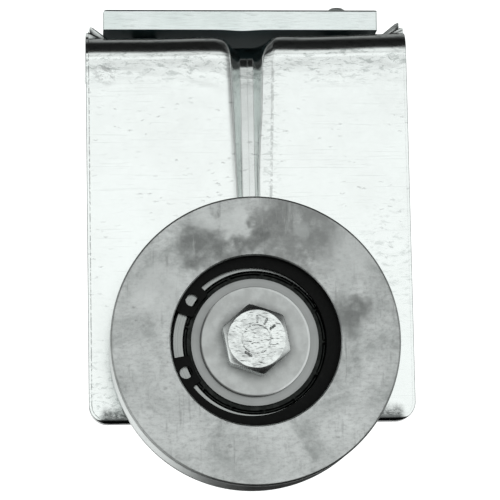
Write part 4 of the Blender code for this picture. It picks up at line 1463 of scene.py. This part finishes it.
def make_clamp_bolt(side):
    low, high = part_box(f"clamp_bolt_{side}")
    head, radius = 4.0 * MM, 3.0 * MM
    seat = low.z + head
    tip = high.z - 0.35 * MM
    turn = 0.25 if side == "left" else 0.8

    def mirrored(height):
        if callable(height):
            return lambda angles: 2 * seat - height(angles)
        return 2 * seat - height

    head_rings = hex_head_rings(10 * MM, 4.6 * MM, turn, seat, seat + head)
    rings = [
        *((value, mirrored(height)) for value, height in reversed(head_rings)),
        (radius - 0.1 * MM, seat),
        *threaded_rings(radius, 1.0 * MM, seat + 1.0 * MM, tip - 1.1 * MM),
        (radius - 0.75 * MM, tip - 0.8 * MM),
        (2.0 * MM, tip - 0.42 * MM),
        (1.5 * MM, tip - 0.06 * MM),
        (1.4 * MM, tip),
        (0.3 * MM, tip),
    ]
    return skin(f"clamp_screw_{side}", rings, 96, False, 40, upright_at(low, high))


def make_plain_washer(name, node, fillet):
    low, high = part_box(node)
    radius = (high.x - low.x) / 2
    return ring(name, 3.3 * MM, radius, low.z, high.z + 0.25 * MM, fillet, 96, upright_at(low, high))


def make_rear_washer():
    return ring("rear_washer", 4.2 * MM, 8.0 * MM, -5.65 * MM, -4.02 * MM, 0.25 * MM, 128)


def make_clamp(small_zinc):
    settle(make_clamp_bar(), zinc_bar(), "clamp_plate", "clamp_plate", "zinc_plate")
    for side in ("left", "right"):
        screw_zinc = zinc_part(f"zinc_screw_{side}", tip=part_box(f"clamp_bolt_{side}")[1].z - 0.62 * MM)
        settle(make_clamp_bolt(side), screw_zinc, f"clamp_bolt_{side}", f"clamp_bolt_{side}", "zinc_plate")
        node = f"clamp_washer_{side}"
        washer = make_plain_washer(f"flat_washer_{side}", node, 0.2 * MM)
        settle(washer, small_zinc, "bracket", node, "zinc_plate")


def make_stack(small_zinc, ring_steel):
    """The pieces on the axle that stay with the bracket."""
    head_zinc = zinc_part("zinc_head", (0.9, 0.94, 0.925), (0.68, 0.71, 0.7), 0.2)
    collar_steel = turned_steel("collar_steel", (0.42, 0.435, 0.43), (0.38, 0.395, 0.39), 0.32, 900.0)
    for piece, material, node, slot in (
        (make_axle_bolt(), head_zinc, "axle_bolt", "zinc_plate"),
        (make_washer_front(), disc_zinc(), "axle_washer_front", "zinc_plate"),
        (make_collar(), collar_steel, "axle_collar", "turned_steel"),
        (make_spacer(), collar_steel, "rear_spacer", "turned_steel"),
        (make_rear_washer(), small_zinc, "axle_washer_rear", "zinc_plate"),
        (make_nut(), small_zinc, "axle_nut", "zinc_plate"),
        (make_insert(), nylon(), "axle_nut_insert", "nylon"),
        (make_inner_ring(), ring_steel, "bearing_inner_ring", "bearing_steel"),
    ):
        settle(piece, material, "bracket", node, slot)


def make_wheel_body(ring_steel):
    settle(make_wheel(), wheel_steel(), "wheel", "wheel_rim", "wheel_steel")
    settle(make_circlip(), black_oxide(), "wheel", "circlip", "black_oxide")
    settle(make_outer_ring(), ring_steel, "wheel", "bearing_outer_ring", "bearing_steel")
    shield = shield_steel()
    for side, face, inwards in (("front", BEARING_FRONT, -1), ("rear", BEARING_BACK, 1)):
        settle(make_shield(side, face, inwards), shield, "wheel", f"bearing_shield_{side}", "shield_steel")


def make_cage_body():
    cage_metal = turned_steel("cage_metal", (0.5, 0.51, 0.49), (0.42, 0.43, 0.42))
    ball_metal = turned_steel("ball_metal", (0.78, 0.79, 0.79), (0.74, 0.75, 0.75), 0.06)
    for side, facing in (("front", 1), ("rear", -1)):
        settle(make_cage(side, facing), cage_metal, "bearing_cage", f"cage_{side}", "cage_steel")
    for index in range(BALL_COUNT):
        settle(make_ball(index), ball_metal, "bearing_cage", f"ball_{index + 1}", "ball_steel")
        settle(make_rivet(index), cage_metal, "bearing_cage", f"cage_rivet_{index + 1}", "cage_steel")


def make_all():
    small_zinc = zinc_part("zinc_small")
    ring_steel = turned_steel("ring_steel", (0.42, 0.44, 0.43), (0.3, 0.315, 0.31), 0.22, 5000.0)
    settle(make_bracket(), zinc_sheet(), "bracket", "bracket", "zinc_plate")
    make_clamp(small_zinc)
    make_stack(small_zinc, ring_steel)
    make_wheel_body(ring_steel)
    make_cage_body()


# Studio

# Brightness by height in degrees, for each side of the studio
FRONT_LIGHT = [
    (-90, 0.01), (-30, 0.01), (-14, 0.9), (-4, 1.1), (13.5, 1.1), (16, 0.84),
    (19, 0.72), (21.5, 0.42), (25, 0.12), (29, 0.01), (84, 0.01), (90, 0.05),
]
BACK_LIGHT = [
    (-90, 0.01), (-13, 0.03), (-8, 0.3), (-4, 1.0), (0, 1.25),
    (17, 1.25), (27, 0.5), (40, 0.3), (75, 0.26), (90, 0.05),
]
LEFT_LIGHT = [
    (-90, 0.01), (-66, 0.03), (-54, 1.0), (-18, 1.0), (-5, 0.72),
    (15, 0.66), (35, 0.35), (60, 0.05), (90, 0.05),
]
RIGHT_LIGHT = [
    (-90, 0.01), (-40, 0.05), (-15, 0.5), (0, 0.64), (15, 0.64), (35, 0.2), (60, 0.03), (90, 0.05),
]
UPRIGHT_DARKNESS = 0.85

# Camera: its place, the way it looks, and how far the picture leans
CAMERA_PLACE = Vector((-39.0, -609.3, -137.5)) * MM
CAMERA_LOOK = Vector((0.0652, 0.9882, 0.1508))
CAMERA_ROLL = math.radians(1.05)
FOCAL_LENGTH = 201.6
SENSOR_WIDTH = 36.0
NEAREST_SEEN = 0.01

# Floor and overhead light
FLOOR_HALF_SIZE = 3.0
FLOOR_DROP = 0.25
LIGHT_POWER = 26.0
LIGHT_SIZE = 1.6
LIGHT_PLACE = (-0.3, -0.4, 1.4)
LIGHT_TURN = (math.radians(-14), math.radians(-10), 0)


def height_ramp(world, share, stops):
    """A side's brightness as a ramp over the height, from straight below to straight above."""
    shades = world.node("ValToRGB", {0: share})
    ramp = shades.socket.node.color_ramp
    ramp.interpolation = "LINEAR"
    while len(ramp.elements) > 1:
        ramp.elements.remove(ramp.elements[-1])
    for index, (degrees, grey) in enumerate(stops):
        place = 0.5 + degrees / 180
        element = ramp.elements[0] if index == 0 else ramp.elements.new(place)
        element.position = place
        element.color = (grey * 0.985, grey, grey * 0.993, 1)
    return shades


def make_world():
    """A pale soft studio: white all round at eye level, dark overhead in front and straight below.

    Two dark uprights stand in front, one on each side.
    """
    studio = bpy.data.worlds.new("studio")
    bpy.context.scene.world = studio
    studio.use_nodes = True
    world = Nodes(studio.node_tree)
    x, y, z = world.axes(world.node("TexCoord", output="Generated"))
    share = world.maths("ARCSINE", z) / math.pi + 0.5
    level = x * x + y * y + 1e-6

    def sector(axis, sign):
        facing = (axis * sign).most(0.0)
        return facing * facing / level

    def upright(side, start, fade, end):
        """A dark upright on one side, between two shares of straight ahead."""
        inside = world.maths("DIVIDE", start - ahead, fade, clamp=True)
        outside = world.maths("DIVIDE", ahead - end, 0.08, clamp=True)
        return inside * outside * world.maths("GREATER_THAN", x * side, 0.0)

    total = None
    sides = [(y, -1, FRONT_LIGHT), (y, 1, BACK_LIGHT), (x, -1, LEFT_LIGHT), (x, 1, RIGHT_LIGHT)]
    for axis, sign, stops in sides:
        lit = world.vector("SCALE", {0: height_ramp(world, share, stops), "Scale": sector(axis, sign)})
        total = world.vector("ADD", {0: total, 1: lit}) if total else lit
    ahead = sector(y, -1)
    dark = upright(1, 0.92, 0.2, 0.62) + upright(-1, 0.86, 0.06, 0.48)
    background = studio.node_tree.nodes["Background"]
    world.join(total, background.inputs["Color"])
    world.join(1.0 - dark * UPRIGHT_DARKNESS, background.inputs["Strength"])


def make_camera():
    data = bpy.data.cameras.new("camera")
    data.lens = FOCAL_LENGTH
    data.sensor_width = SENSOR_WIDTH
    data.clip_start = NEAREST_SEEN
    ahead = CAMERA_LOOK.normalized()
    right = ahead.cross(Vector((0, 0, 1))).normalized()
    up = right.cross(ahead)
    lean, cross = math.cos(CAMERA_ROLL), math.sin(CAMERA_ROLL)
    turn = Matrix((right * lean - up * cross, up * lean + right * cross, -ahead)).transposed()
    bpy.context.scene.camera = linked("camera", data, Matrix.Translation(CAMERA_PLACE) @ turn.to_4x4())


def make_floor():
    s = Shader("studio_floor", metallic=0.0)
    colour = s.mix(s.noise(30, 3, 0.5).fade(0.3, 0.7), (0.8, 0.81, 0.81), (0.77, 0.78, 0.78))
    size, z = FLOOR_HALF_SIZE, cad_bounds[0][2] - FLOOR_DROP
    corners = [(-size, -size, z), (size, -size, z), (size, size, z), (-size, size, z)]
    floor = made("floor", corners, [(0, 1, 2, 3)])
    floor.data.materials.append(s.finish(colour, 0.7))
    floor.visible_glossy = False


def make_light():
    """A broad soft light overhead for the floor and the dull pieces."""
    data = bpy.data.lights.new("overhead", "AREA")
    data.energy = LIGHT_POWER
    data.size = LIGHT_SIZE
    light = linked("overhead", data)
    light.location = LIGHT_PLACE
    light.rotation_euler = LIGHT_TURN
    light.visible_glossy = False


make_all()
make_world()
make_light()
make_floor()
make_camera()
bpy.context.scene.view_settings.view_transform = "Standard"
bpy.context.scene.view_settings.look = "None"
